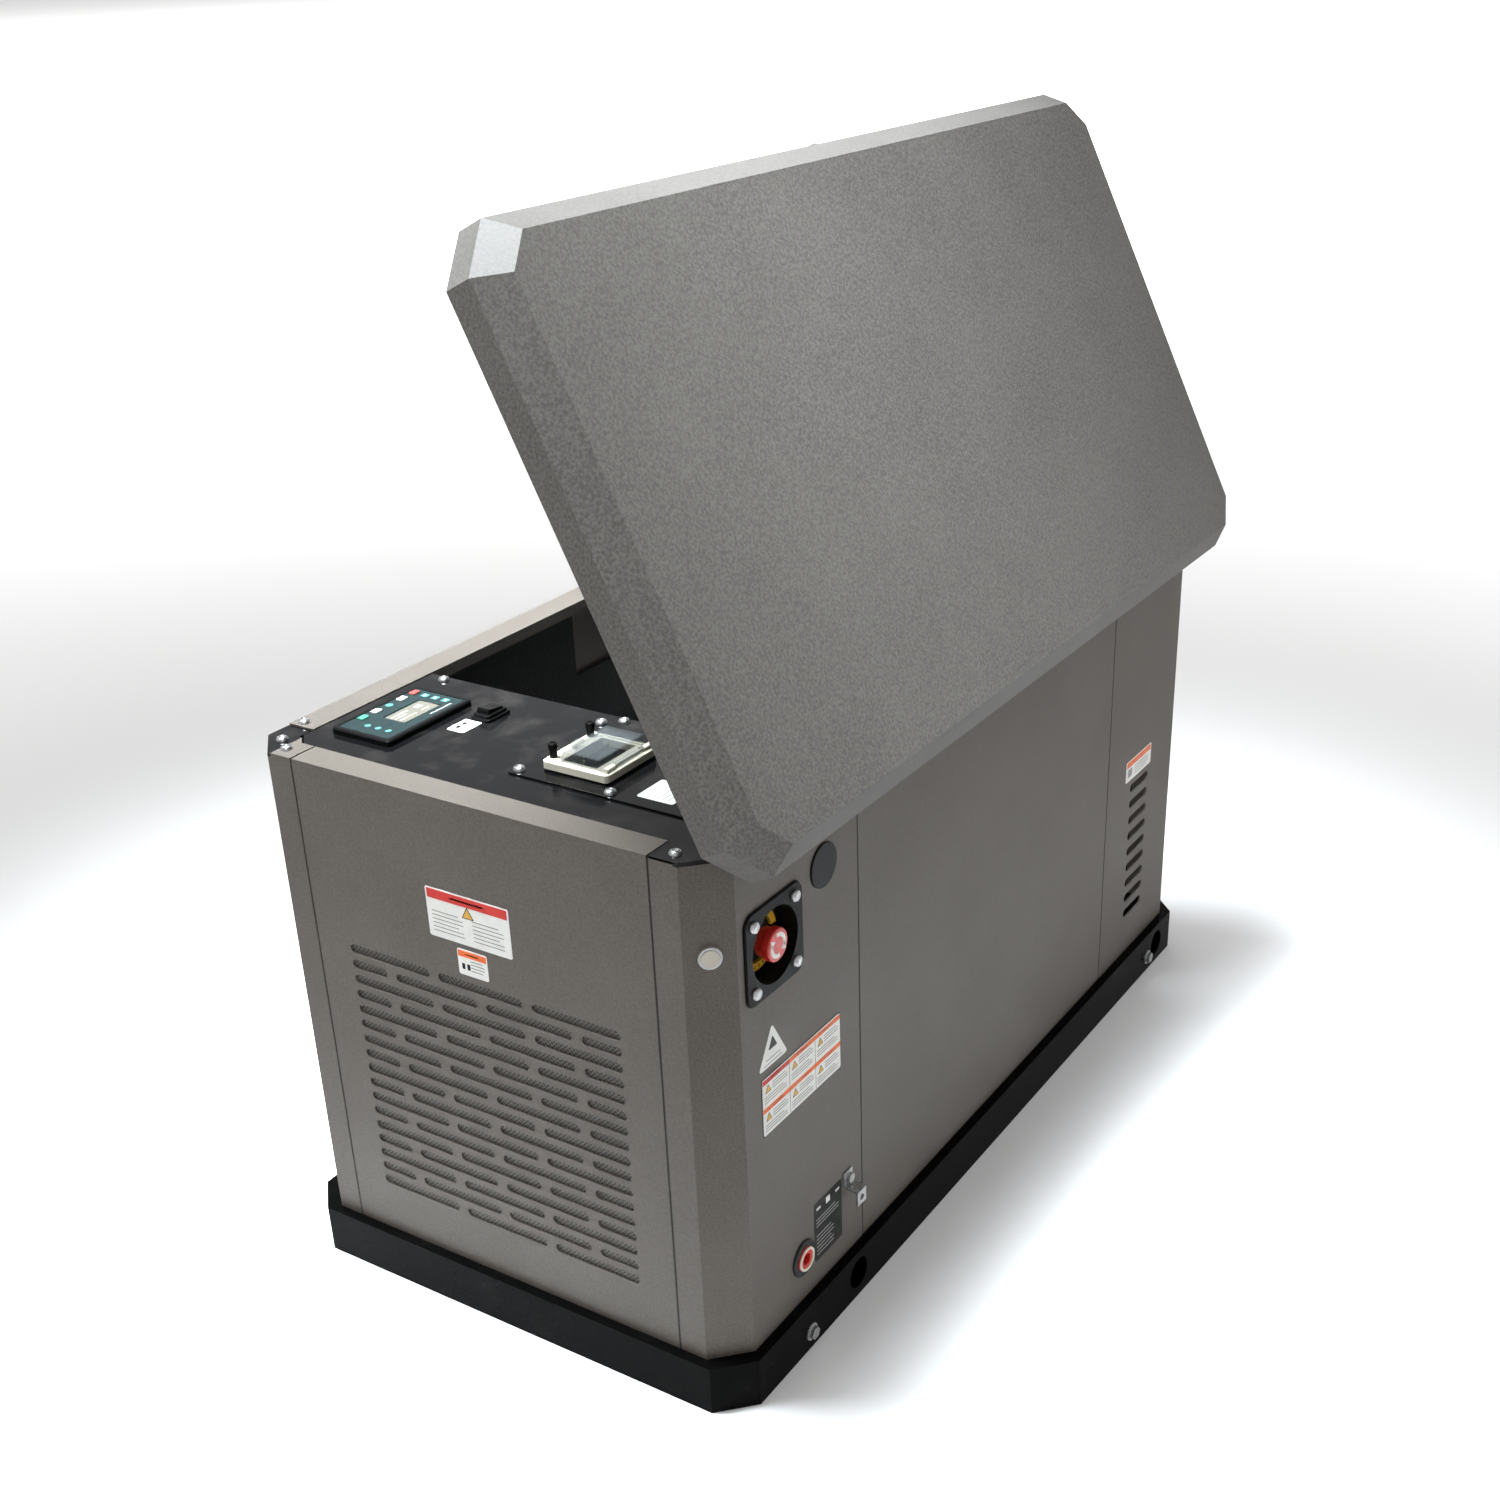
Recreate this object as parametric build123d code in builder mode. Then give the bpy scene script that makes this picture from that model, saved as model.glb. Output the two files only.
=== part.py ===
"""Home standby generator in a steel enclosure, with its lid propped open.

Millimetres, +Z up, +X along the long side, -Y the hinge side of the lid.
The origin is the centre of the base tray's underside.
"""
from build123d import *
from math import asin, atan2, cos, degrees, pi, radians, sin, sqrt
import os

os.makedirs("parts", exist_ok=True)

# ---------------------------------------------------------------- base tray
base_length = 1218.0
base_width = 630.0
base_height = 60.0
base_cut = 38.0            # leg of the corner chamfer, seen from above
base_sheet = 3.0
base_return = 30.0         # width of the flange turned in under the tray
pad_bolt_x = 920.0         # hold-down holes, centre to centre
pad_bolt_hole_r = 6.0
lift_hole_r = 19.0
lift_hole_x = (-362.0, 520.0)
lift_hole_z = 31.0
tie_bolt_x = (-467.0, 486.0)
tie_bolt_z = 23.0

# ---------------------------------------------------------------- enclosure
body_length = 1194.0
body_width = 606.0
body_top = 654.0
body_cut = 37.5
sheet = 2.0
seam = 2.4                 # open joint between neighbouring panels
flange_width = 36.0        # panel top turned in
flange_lip = 14.0          # flange edge turned down
post_leg = 34.0            # corner panel's leg on the end faces, past the chamfer
door_width = 664.0
door_return = 14.0
rail_height = 49.0         # fixed rail above the door, which carries the hinges
gusset_x = 529.0           # the gussets show outside this distance from the middle
gusset_y = 261.0
gusset_tuck = 24.0         # how far a gusset runs on under the flanges
gusset_sheet = 2.0

# ---------------------------------------------------------------- grilles
grille_width = 366.0
grille_rows = 17
grille_pitch = 19.2
grille_top = 439.0         # centre line of the top row
slot_height = 11.5
slot_gap = 12.5            # bar between neighbouring slots in a row
louvre_rows = 9
louvre_pitch = 24.9
louvre_width = 62.0
louvre_height = 13.0
louvre_x = 444.0
louvre_top = 325.0
mesh_sheet = 1.0
mesh_margin = 14.0
mesh_cell = 20.0
mesh_wire = 5.0

# ---------------------------------------------------------------- lid and hinge
lid_open = 64.0            # degrees from closed to the stop
hinge_r = 5.5
hinge_leaf = 2.0
hinge_pin_r = 3.0
hinge_fit = 0.08
hinge_press = 0.02
hinge_x = (-262.0, 0.0, 262.0)
hinge_length = 100.0
hinge_knuckles = 5
hinge_gap = 0.4
hinge_leaf_length = 27.0
hinge_drop = 21.3          # pin's depth below the top of the body
lid_length = 1210.0
lid_cut = 46.5
lid_skirt = 30.0
lid_rise = 29.5
lid_run = 23.8
lid_edge = 9.7             # lower edge of the skirt above the pin, lid closed
liner_thickness = 18.0
liner_margin = 36.0
liner_length = 584.0

# ---------------------------------------------------------------- gas struts
strut_x = 316.0
strut_arm = 240.0          # both strut ends lie this far from the hinge pin
strut_wall_gap = 23.0      # lower stud in from the front face
strut_lid_angle = 2.0      # upper stud above the pin's level, lid closed
strut_stud_r = 4.0
strut_fit = 0.08
strut_eye_r = 9.0
strut_eye_width = 12.0
tube_r = 11.0
tube_wall = 1.5
tube_start = 12.0
tube_length = 202.0
rod_r = 5.0
rod_length = 272.0
piston_clear = 0.3

# ---------------------------------------------------------------- inside layout
bulkhead_x = 342.0         # outer face of each bulkhead
panel_drop = 1.0            # control panel's face below the body's top
panel_top = body_top - panel_drop
panel_gap = 0.5
crank_z = 252.0
rail_y = 150.0
rail_section = 30.0
isolator_r = 22.0
isolator_height = 30.0

half_x = body_length / 2
half_y = body_width / 2
flange_under = body_top - sheet
hinge_y = -(half_y + hinge_r)
hinge_z = body_top - hinge_drop
lid_width = 2 * (half_y + 2 * hinge_r + sheet)
lid_middle = -hinge_y
lid_top = lid_edge + lid_skirt + lid_rise
post_y = half_y - body_cut - post_leg
front_plane = Plane.XZ.offset(half_y)
intake_plane = Plane(origin=(-half_x, 0, 0), x_dir=(0, -1, 0), z_dir=(-1, 0, 0))
exhaust_plane = Plane(origin=(half_x, 0, 0), x_dir=(0, 1, 0), z_dir=(1, 0, 0))
tilt = radians(lid_open)
lid_plane = Plane(origin=(0, hinge_y, hinge_z), x_dir=(1, 0, 0), z_dir=(0, -sin(tilt), cos(tilt)))


def finish(piece, name):
    """Label a finished piece and write it."""
    piece.part.label = name
    export_step(piece.part, f"parts/{name}.step")


def inset_cut(cut, inset):
    """Chamfer leg of an octagon whose sides all move in by inset."""
    return cut - inset * (2 - sqrt(2))


def octagon(length, width, cut, inset=0.0, middle=0.0, mode=Mode.ADD):
    """Rectangle with four chamfered corners, its sides moved in by inset."""
    x = length / 2 - inset
    y = width / 2 - inset
    c = inset_cut(cut, inset)
    right = [(x - c, -y), (x, c - y), (x, y - c), (x - c, y)]
    left = [(c - x, y), (-x, y - c), (-x, c - y), (c - x, -y)]
    with BuildLine() as outline:
        Polyline([(px, py + middle) for px, py in right + left], close=True)
    make_face(outline.edges(), mode=mode)


def body_ring(outer, inner):
    """Band between two insets of the enclosure's outline."""
    octagon(body_length, body_width, body_cut, outer)
    octagon(body_length, body_width, body_cut, inner, mode=Mode.SUBTRACT)


def keep(x0, x1, y0, y1):
    """Keep only the part of the sketch inside a window."""
    with Locations(((x0 + x1) / 2, (y0 + y1) / 2)):
        Rectangle(x1 - x0, y1 - y0, mode=Mode.INTERSECT)


def wall(window, bottom, top):
    """Outer wall of the enclosure inside a window."""
    with BuildSketch(Plane.XY.offset(bottom)) as section:
        body_ring(0, sheet)
        keep(*window)
    extrude(section.sketch, amount=top - bottom)


def top_flange(window):
    """Top flange with its turned-down lip inside a window."""
    with BuildSketch(Plane.XY.offset(flange_under)) as flat:
        body_ring(0, flange_width)
        keep(*window)
    extrude(flat.sketch, amount=sheet)
    with BuildSketch(Plane.XY.offset(body_top - flange_lip)) as lip:
        body_ring(flange_width - sheet, flange_width)
        keep(*window)
    extrude(lip.sketch, amount=flange_lip - sheet)


def drill(points, radius, bottom, height):
    """Vertical holes through the piece being built."""
    with BuildSketch(Plane.XY.offset(bottom)) as holes:
        with Locations(*points):
            Circle(radius)
    extrude(holes.sketch, amount=height, mode=Mode.SUBTRACT)


def punch(plane, points, radius, depth):
    """Round holes through a wall, from just outside plane inwards."""
    with BuildSketch(plane.offset(1)) as holes:
        with Locations(*points):
            Circle(radius)
    extrude(holes.sketch, amount=-(depth + 2), mode=Mode.SUBTRACT)


def slots(plane, centres, width, height):
    """Obround holes through a wall."""
    with BuildSketch(plane.offset(1)) as openings:
        with Locations(*centres):
            SlotOverall(width, height)
    extrude(openings.sketch, amount=-(sheet + 2), mode=Mode.SUBTRACT)


def mirrored(points):
    """The same points in all four corners."""
    return [(sx * x, sy * y) for sx in (-1, 1) for sy in (-1, 1) for x, y in points]


# screws that hold each corner gusset to the flanges, and one on the gusset itself
screw_r = 3.0
screw_hole_r = 3.3
screw_head_r = 6.5
screw_head_height = 3.6
screw_length = 7.0
flange_screws = mirrored([(half_x - 16, gusset_y - 8), (gusset_x - 10, half_y - 14)])
gusset_screws = mirrored([(half_x - 35, half_y - 24)])

# ================================================================ base tray
with BuildPart() as base_tray:
    with BuildSketch():
        octagon(base_length, base_width, base_cut)
    extrude(amount=base_height)
    with BuildSketch(Plane.XY.offset(base_sheet)):
        octagon(base_length, base_width, base_cut, base_sheet)
    extrude(amount=base_height - 2 * base_sheet, mode=Mode.SUBTRACT)
    with BuildSketch():
        octagon(base_length, base_width, base_cut, base_return)
    extrude(amount=base_sheet, mode=Mode.SUBTRACT)
    pad_bolt_y = base_width / 2 - base_return / 2
    drill(mirrored([(pad_bolt_x / 2, pad_bolt_y)]), pad_bolt_hole_r, 0, base_sheet)
    with BuildSketch(Plane.XZ):
        with Locations(*[(x, lift_hole_z) for x in lift_hole_x]):
            Circle(lift_hole_r)
    extrude(amount=base_width, both=True, mode=Mode.SUBTRACT)
finish(base_tray, "base_tray")

# ================================================================ corner panels
front_window_left = (-half_x, -door_width / 2 - seam / 2, -half_y, -post_y - seam / 2)
front_window_right = (door_width / 2 + seam / 2, half_x, -half_y, -post_y - seam / 2)

estop_x = -497.0
estop_z = 530.0
estop_plate_side = 104.0
estop_screw_pitch = 74.5
estop_cup_r = 42.5
plug_x = -401.0
plug_z = 574.0
plug_hole_r = 22.0
fuel_x = -460.0
fuel_z = 116.0
fuel_hole_r = 18.0
lamp_z = 550.0
lamp_hole_r = 9.0
chamfer_middle = body_cut / 2
lamp_plane = Plane(
    origin=(-half_x + chamfer_middle, -half_y + chamfer_middle, lamp_z),
    x_dir=(1, -1, 0),
    z_dir=(-1, -1, 0),
)
half_pitch = estop_screw_pitch / 2
estop_screws = [(estop_x + sx * half_pitch, estop_z + sz * half_pitch) for sx in (-1, 1) for sz in (-1, 1)]


def corner_wall(window):
    """Wall of a corner panel, full height and flanged except under its gusset."""
    x0, x1, y0, y1 = window
    wall(window, base_height, flange_under - gusset_sheet)
    beside_end = (max(x0, -gusset_x), min(x1, gusset_x), y0, y1)
    beside_side = (x0, x1, max(y0, -gusset_y), min(y1, gusset_y))
    for span in (beside_end, beside_side):
        if span[1] > span[0]:
            wall(span, base_height, body_top)
            top_flange(span)
    drill(flange_screws, screw_hole_r, flange_under - 1, sheet + 2)


with BuildPart() as front_left_panel:
    corner_wall(front_window_left)
    punch(front_plane, [(estop_x, estop_z)], estop_cup_r + 0.5, sheet)
    punch(front_plane, estop_screws, screw_hole_r, sheet)
    punch(front_plane, [(plug_x, plug_z)], plug_hole_r, sheet)
    punch(front_plane, [(fuel_x, fuel_z)], fuel_hole_r, sheet)
    punch(lamp_plane, [(0, 0)], lamp_hole_r, sheet)
finish(front_left_panel, "front_left_panel")

with BuildPart() as front_right_panel:
    corner_wall(front_window_right)
    louvre_rows_z = [louvre_top - row * louvre_pitch for row in range(louvre_rows)]
    slots(front_plane, [(louvre_x, z) for z in louvre_rows_z], louvre_width, louvre_height)
finish(front_right_panel, "front_right_panel")

with BuildPart() as rear_posts:
    for side in (-1, 1):
        x_in = side * (gusset_x + seam / 2)
        window = (min(x_in, side * half_x), max(x_in, side * half_x), post_y + seam / 2, half_y)
        corner_wall(window)
finish(rear_posts, "rear_posts")

# ================================================================ rear panel
keeper_x = 9.0             # hook on the rear wall that the latch foot turns under
keeper_height = 5.0
keeper_reach = 8.0
latch_height = 25.0        # latch axis above the pin, lid closed
latch_foot_drop = 23.0
latch_head_r = 9.0

with BuildPart() as rear_panel:
    rear_window = (-gusset_x + seam / 2, gusset_x - seam / 2, post_y, half_y)
    wall(rear_window, base_height, body_top)
    top_flange(rear_window)
    drill(flange_screws, screw_hole_r, flange_under - 1, sheet + 2)
    keeper_z = hinge_z + latch_height - latch_foot_drop + 1 + keeper_height / 2
    with Locations((keeper_x, half_y + keeper_reach / 2, keeper_z)):
        Box(6, keeper_reach, keeper_height)
finish(rear_panel, "rear_panel")

# ================================================================ front door and rail
rail_bottom = body_top - rail_height
door_top = rail_bottom - seam
door_bottom = base_height + 0.3
door_half = door_width / 2 - seam / 2

with BuildPart() as front_door:
    with BuildSketch(front_plane):
        with Locations((0, (door_bottom + door_top) / 2)):
            Rectangle(2 * door_half, door_top - door_bottom)
    extrude(amount=-sheet)
    with BuildSketch(front_plane.offset(-sheet)):
        with Locations((0, (door_bottom + door_top) / 2)):
            Rectangle(2 * door_half, door_top - door_bottom)
            Rectangle(2 * (door_half - sheet), door_top - door_bottom - 2 * sheet, mode=Mode.SUBTRACT)
    extrude(amount=-(door_return - sheet))
    stiffener_y = -half_y + sheet + 6
    with Locations(*[(0, stiffener_y, z) for z in (220, 330)]):
        Box(2 * (door_half - sheet), 12, 30)
finish(front_door, "front_door")

with BuildPart() as front_top_rail:
    rail_window = (-door_half, door_half, -half_y, 0)
    wall(rail_window, rail_bottom, body_top)
    top_flange(rail_window)
    tab_length = 52.0
    tab_overlap = 20.0
    for side in (-1, 1):
        tab_x = side * (door_width / 2 + tab_overlap - tab_length / 2)
        with Locations((tab_x, -half_y + 1.5 * sheet, rail_bottom + rail_height / 2 - 4)):
            Box(tab_length, sheet, 30)
finish(front_top_rail, "front_top_rail")


# ================================================================ end panels
def grille_centres():
    """Centre and width of every slot: three long ones, or two between two short."""
    long_slot = (grille_width - 2 * slot_gap) / 3
    short_slot = (grille_width - 2 * long_slot - 3 * slot_gap) / 2
    result = []
    for row in range(grille_rows):
        widths = [long_slot] * 3 if row % 2 == 0 else [short_slot, long_slot, long_slot, short_slot]
        left = -grille_width / 2
        for width in widths:
            result.append((left + width / 2, grille_top - row * grille_pitch, width))
            left += width + slot_gap
    return result


with BuildPart() as intake_end_panel:
    intake_window = (-half_x, 0, -post_y + seam / 2, post_y - seam / 2)
    wall(intake_window, base_height, body_top)
    top_flange(intake_window)
    with BuildSketch(intake_plane.offset(1)):
        for u, v, width in grille_centres():
            with Locations((u, v)):
                SlotOverall(width, slot_height)
    extrude(amount=-(sheet + 2), mode=Mode.SUBTRACT)
finish(intake_end_panel, "intake_end_panel")

with BuildPart() as intake_mesh:
    mesh_height = (grille_rows - 1) * grille_pitch + 2 * mesh_margin
    mesh_middle = grille_top - (grille_rows - 1) * grille_pitch / 2
    mesh_width = grille_width + 2 * mesh_margin
    with BuildSketch(intake_plane.offset(-sheet - 0.3)):
        with Locations((0, mesh_middle)):
            Rectangle(mesh_width, mesh_height)
            with GridLocations(mesh_cell, mesh_cell, int(mesh_width / mesh_cell) - 1,
                               int(mesh_height / mesh_cell) - 1):
                Rectangle(mesh_cell - mesh_wire, mesh_cell - mesh_wire, mode=Mode.SUBTRACT)
    extrude(amount=-mesh_sheet)
finish(intake_mesh, "intake_mesh")

with BuildPart() as exhaust_end_panel:
    exhaust_window = (0, half_x, -post_y + seam / 2, post_y - seam / 2)
    wall(exhaust_window, base_height, body_top)
    top_flange(exhaust_window)
    columns = [offset_y * (louvre_width + slot_gap) for offset_y in (-1.5, -0.5, 0.5, 1.5)]
    centres = [(u, grille_top - row * louvre_pitch) for row in range(louvre_rows) for u in columns]
    slots(exhaust_plane, centres, louvre_width, louvre_height)
finish(exhaust_end_panel, "exhaust_end_panel")

# ================================================================ corner gussets
with BuildPart() as corner_gussets:
    for sx in (-1, 1):
        for sy in (-1, 1):
            corner = (min(sx * gusset_x, sx * half_x), max(sx * gusset_x, sx * half_x),
                      min(sy * gusset_y, sy * half_y), max(sy * gusset_y, sy * half_y))
            tuck_x = sx * (gusset_x - gusset_tuck)
            tuck_y = sy * (gusset_y - gusset_tuck)
            under = (min(tuck_x, sx * half_x), max(tuck_x, sx * half_x),
                     min(tuck_y, sy * half_y), max(tuck_y, sy * half_y))
            with BuildSketch(Plane.XY.offset(flange_under - gusset_sheet)):
                body_ring(0, flange_width - sheet - 0.5)
                keep(*corner)
            extrude(amount=gusset_sheet)
            with BuildSketch(Plane.XY.offset(flange_under - gusset_sheet)):
                body_ring(sheet + 0.3, flange_width - sheet - 0.5)
                keep(*under)
            extrude(amount=gusset_sheet)
    drill(flange_screws + gusset_screws, screw_hole_r, flange_under - gusset_sheet - 1, gusset_sheet + 2)
finish(corner_gussets, "corner_gussets")

# ================================================================ control panel
panel_x0 = -half_x + flange_width + panel_gap
panel_x1 = -bulkhead_x + 4.0
panel_half_y = half_y - flange_width - panel_gap
panel_corner = 18.0
panel_lip = 15.0
panel_screws = [(panel_x1 - 9, sy * (panel_half_y - 27)) for sy in (-1, 1)]
panel_screws += [(panel_x1 - 9, -19.0)]

breaker_x0 = -514.0
breaker_x1 = -355.0
breaker_y0 = -230.0
breaker_y1 = 8.0
plate_sheet = 2.0
plate_inset = 10.0
plate_screws = [
    (x, y)
    for x in (breaker_x0 + plate_inset, breaker_x1 - plate_inset)
    for y in (breaker_y0 + plate_inset, (breaker_y0 + breaker_y1) / 2 - 8, breaker_y1 - plate_inset)
]

controller_x = -456.0
controller_y = 202.0
controller_length = 136.0
controller_width = 84.0
controller_bezel = 7.0
controller_body_length = 122.0
controller_body_width = 72.0
controller_depth = 40.0
cutout_clear = 1.0

rocker_x = -403.0
rocker_y = 122.0
rocker_step = 3.5          # height of each step of the switch's collar
rocker_pivot = panel_top + 2 * rocker_step
rocker_r = 12.0
rocker_width = 16.0
rocker_clear = 0.3

box_x0 = -494.0
box_x1 = -408.0
box_y0 = -108.0
box_y1 = -24.0
box_middle = ((box_x0 + box_x1) / 2, (box_y0 + box_y1) / 2)
box_length = box_x1 - box_x0
box_width = box_y1 - box_y0

with BuildPart() as control_panel:
    panel_middle = ((panel_x0 + panel_x1) / 2, 0)
    panel_size = (panel_x1 - panel_x0, 2 * panel_half_y)
    with BuildSketch(Plane.XY.offset(panel_top - sheet)):
        with Locations(panel_middle):
            Rectangle(*panel_size)
        panel_edges = [v for v in vertices() if v.X < panel_middle[0]]
        chamfer(panel_edges, length=panel_corner)
    extrude(amount=sheet)
    for sy in (-1, 1):
        lip_length = panel_size[0] - panel_corner - 8
        lip_y = sy * (panel_half_y - sheet / 2)
        with Locations((panel_x1 - 4 - lip_length / 2, lip_y, panel_top - sheet - panel_lip / 2)):
            Box(lip_length, sheet, panel_lip)
    with Locations((panel_x0 + sheet / 2, 0, panel_top - sheet - panel_lip / 2)):
        Box(sheet, panel_size[1] - 2 * panel_corner, panel_lip)
    hole_bottom = panel_top - sheet - 1
    with BuildSketch(Plane.XY.offset(hole_bottom)):
        with Locations((controller_x, controller_y)):
            Rectangle(controller_body_length + 2 * cutout_clear, controller_body_width + 2 * cutout_clear)
        with Locations((rocker_x, rocker_y)):
            Rectangle(2 * rocker_r + 8, rocker_width + 6)
        with Locations(box_middle):
            Rectangle(box_length - 14, box_width - 20)
    extrude(amount=sheet + 2, mode=Mode.SUBTRACT)
    drill(panel_screws + plate_screws, screw_hole_r, hole_bottom, sheet + 2)
finish(control_panel, "control_panel")

with BuildPart() as breaker_plate:
    plate_middle = ((breaker_x0 + breaker_x1) / 2, (breaker_y0 + breaker_y1) / 2)
    with BuildSketch(Plane.XY.offset(panel_top)):
        with Locations(plate_middle):
            RectangleRounded(breaker_x1 - breaker_x0, breaker_y1 - breaker_y0, 6)
        with Locations(box_middle):
            Rectangle(box_length - 14, box_width - 20, mode=Mode.SUBTRACT)
    extrude(amount=plate_sheet)
    drill(plate_screws, screw_hole_r, panel_top - 1, plate_sheet + 2)
finish(breaker_plate, "breaker_plate")

# ================================================================ bulkheads
pipe_y = 189.0
pipe_z = crank_z + pipe_y
pipe_r = 17.0
bulkhead_half = half_y - sheet - 2.5

with BuildPart() as bulkheads:
    lower_top = body_top - flange_lip - 0.5
    for side in (-1, 1):
        with Locations((side * (bulkhead_x - sheet / 2), 0, (base_height + lower_top) / 2)):
            Box(sheet, 2 * bulkhead_half, lower_top - base_height)
    upper_half = half_y - flange_width - 4
    with Locations((-bulkhead_x + sheet / 2, 0, (lower_top + panel_top - sheet) / 2)):
        Box(sheet, 2 * upper_half, panel_top - sheet - lower_top)
    with Locations((-bulkhead_x - 7 + sheet, 0, panel_top - 1.5 * sheet)):
        Box(14, 2 * upper_half, sheet)
    drill(panel_screws, screw_hole_r, panel_top - 2 * sheet - 1, sheet + 2)
    with BuildSketch(Plane.YZ.offset(bulkhead_x - sheet - 1)):
        with Locations((pipe_y, pipe_z), (-pipe_y, pipe_z)):
            Circle(pipe_r + 4)
    extrude(amount=sheet + 2, mode=Mode.SUBTRACT)
    with BuildSketch(Plane.YZ.offset(-bulkhead_x - 1)):
        with Locations((0, crank_z)):
            Circle(90)
    extrude(amount=sheet + 2, mode=Mode.SUBTRACT)
finish(bulkheads, "bulkheads")

# ================================================================ controller
key_names = ("key_start", "key_auto", "key_manual", "key_stop")
key_steps = (0, 1, 3, 4)
key_pitch = 20.5
key_first = controller_x - 31.0
key_y = controller_y + 29.0
key_length = 12.0
key_width = 9.0
key_height = 5.4
key_proud = 1.6
key_clear = 0.35
key_travel = 1.2
bezel_top = panel_top + controller_bezel
fascia_top = bezel_top - 0.4
fascia_thickness = 1.4
fascia_floor = fascia_top - fascia_thickness
key_bottom = fascia_top + key_proud - key_height
key_points = [(key_first + step * key_pitch, key_y) for step in key_steps]

with BuildPart() as controller_housing:
    with BuildSketch(Plane.XY.offset(panel_top)):
        with Locations((controller_x, controller_y)):
            RectangleRounded(controller_length, controller_width, 5)
    extrude(amount=controller_bezel)
    chamfer(faces().sort_by(Axis.Z)[-1].edges(), length=1.6)
    with BuildSketch(Plane.XY.offset(panel_top - controller_depth)):
        with Locations((controller_x, controller_y)):
            Rectangle(controller_body_length, controller_body_width)
    extrude(amount=controller_depth)
    with BuildSketch(Plane.XY.offset(fascia_floor)):
        with Locations((controller_x, controller_y)):
            RectangleRounded(controller_length - 12, controller_width - 12, 3)
    extrude(amount=fascia_thickness + 1, mode=Mode.SUBTRACT)
    with BuildSketch(Plane.XY.offset(key_bottom - key_travel - 0.4)):
        with Locations(*key_points):
            Rectangle(key_length + 2 * key_clear, key_width + 2 * key_clear)
    extrude(amount=key_height + 2, mode=Mode.SUBTRACT)
finish(controller_housing, "controller_housing")

with BuildPart() as controller_fascia:
    with BuildSketch(Plane.XY.offset(fascia_floor)):
        with Locations((controller_x, controller_y)):
            RectangleRounded(controller_length - 12.6, controller_width - 12.6, 3)
        with Locations(*key_points):
            Rectangle(key_length + 2 * key_clear, key_width + 2 * key_clear, mode=Mode.SUBTRACT)
    extrude(amount=fascia_thickness)
    with BuildSketch(Plane.XY.offset(fascia_top - 0.6)):
        with Locations((controller_x + 9, controller_y - 6)):
            Rectangle(58, 34)
    extrude(amount=1, mode=Mode.SUBTRACT)
finish(controller_fascia, "controller_fascia")


def push_key(centre):
    """One moulded key, its top edges rounded over."""
    with BuildPart() as key:
        with BuildSketch(Plane.XY.offset(key_bottom)):
            with Locations(centre):
                RectangleRounded(key_length, key_width, 2)
        extrude(amount=key_height)
        chamfer(key.faces().sort_by(Axis.Z)[-1].edges(), length=0.6)
    return key


for key_name, key_point in zip(key_names, key_points):
    finish(push_key(key_point), key_name)

# ================================================================ rocker switch
with BuildPart() as rocker_housing:
    with BuildSketch(Plane.XY.offset(panel_top)):
        with Locations((rocker_x, rocker_y)):
            RectangleRounded(2 * rocker_r + 14, rocker_width + 12, 4)
    extrude(amount=rocker_step)
    chamfer(faces().sort_by(Axis.Z)[-1].edges(), length=0.8)
    with BuildSketch(Plane.XY.offset(panel_top + rocker_step)):
        with Locations((rocker_x, rocker_y)):
            RectangleRounded(2 * rocker_r + 8, rocker_width + 7, 3)
    extrude(amount=rocker_step)
    chamfer(faces().sort_by(Axis.Z)[-1].edges(), length=0.8)
    with BuildSketch(Plane.XY.offset(panel_top - 24)):
        with Locations((rocker_x, rocker_y)):
            Rectangle(2 * rocker_r + 6, rocker_width + 4)
    extrude(amount=24)
    with BuildSketch(Plane.XZ.offset(-rocker_y)):
        with Locations((rocker_x, rocker_pivot)):
            Circle(rocker_r + rocker_clear)
    extrude(amount=rocker_width / 2 + rocker_clear, both=True, mode=Mode.SUBTRACT)
finish(rocker_housing, "rocker_housing")

with BuildPart() as rocker_paddle:
    with BuildSketch(Plane.XZ.offset(-rocker_y)):
        with Locations((rocker_x, rocker_pivot)):
            Circle(rocker_r)
        with BuildLine():
            Polyline((rocker_x - 14, rocker_pivot + 6.5), (rocker_x, rocker_pivot + 3.5),
                     (rocker_x + 14, rocker_pivot + 2), (rocker_x + 14, rocker_pivot + 14),
                     (rocker_x - 14, rocker_pivot + 14), close=True)
        make_face(mode=Mode.SUBTRACT)
    extrude(amount=rocker_width / 2, both=True)
finish(rocker_paddle, "rocker_paddle")

# ================================================================ breaker box
box_foot = panel_top + plate_sheet
base_rim = 3.0
frame_rim = 9.0
frame_top = box_foot + base_rim + frame_rim
knob_y = box_y1 - 7.0
knob_x = (box_x0 + 12.0, box_x1 - 12.0)
knob_r = 5.0
knob_shank_r = 2.5
knob_fit = 0.08
knob_height = 16.0
window_y0 = box_y0 + 5.0
window_y1 = box_y1 - 18.0
window_length = box_length - 8.0
window_hinge_z = frame_top + 2.5
window_pin_r = 1.5
window_barrel_r = 3.0

with BuildPart() as breaker_base:
    with BuildSketch(Plane.XY.offset(box_foot)):
        with Locations(box_middle):
            RectangleRounded(box_length, box_width, 5)
            Rectangle(box_length - 14, box_width - 36, mode=Mode.SUBTRACT)
    extrude(amount=base_rim)
    knob_points = [(x, knob_y) for x in knob_x]
    drill(knob_points, knob_shank_r + knob_fit, box_foot + 2, base_rim)
finish(breaker_base, "breaker_base")

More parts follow.
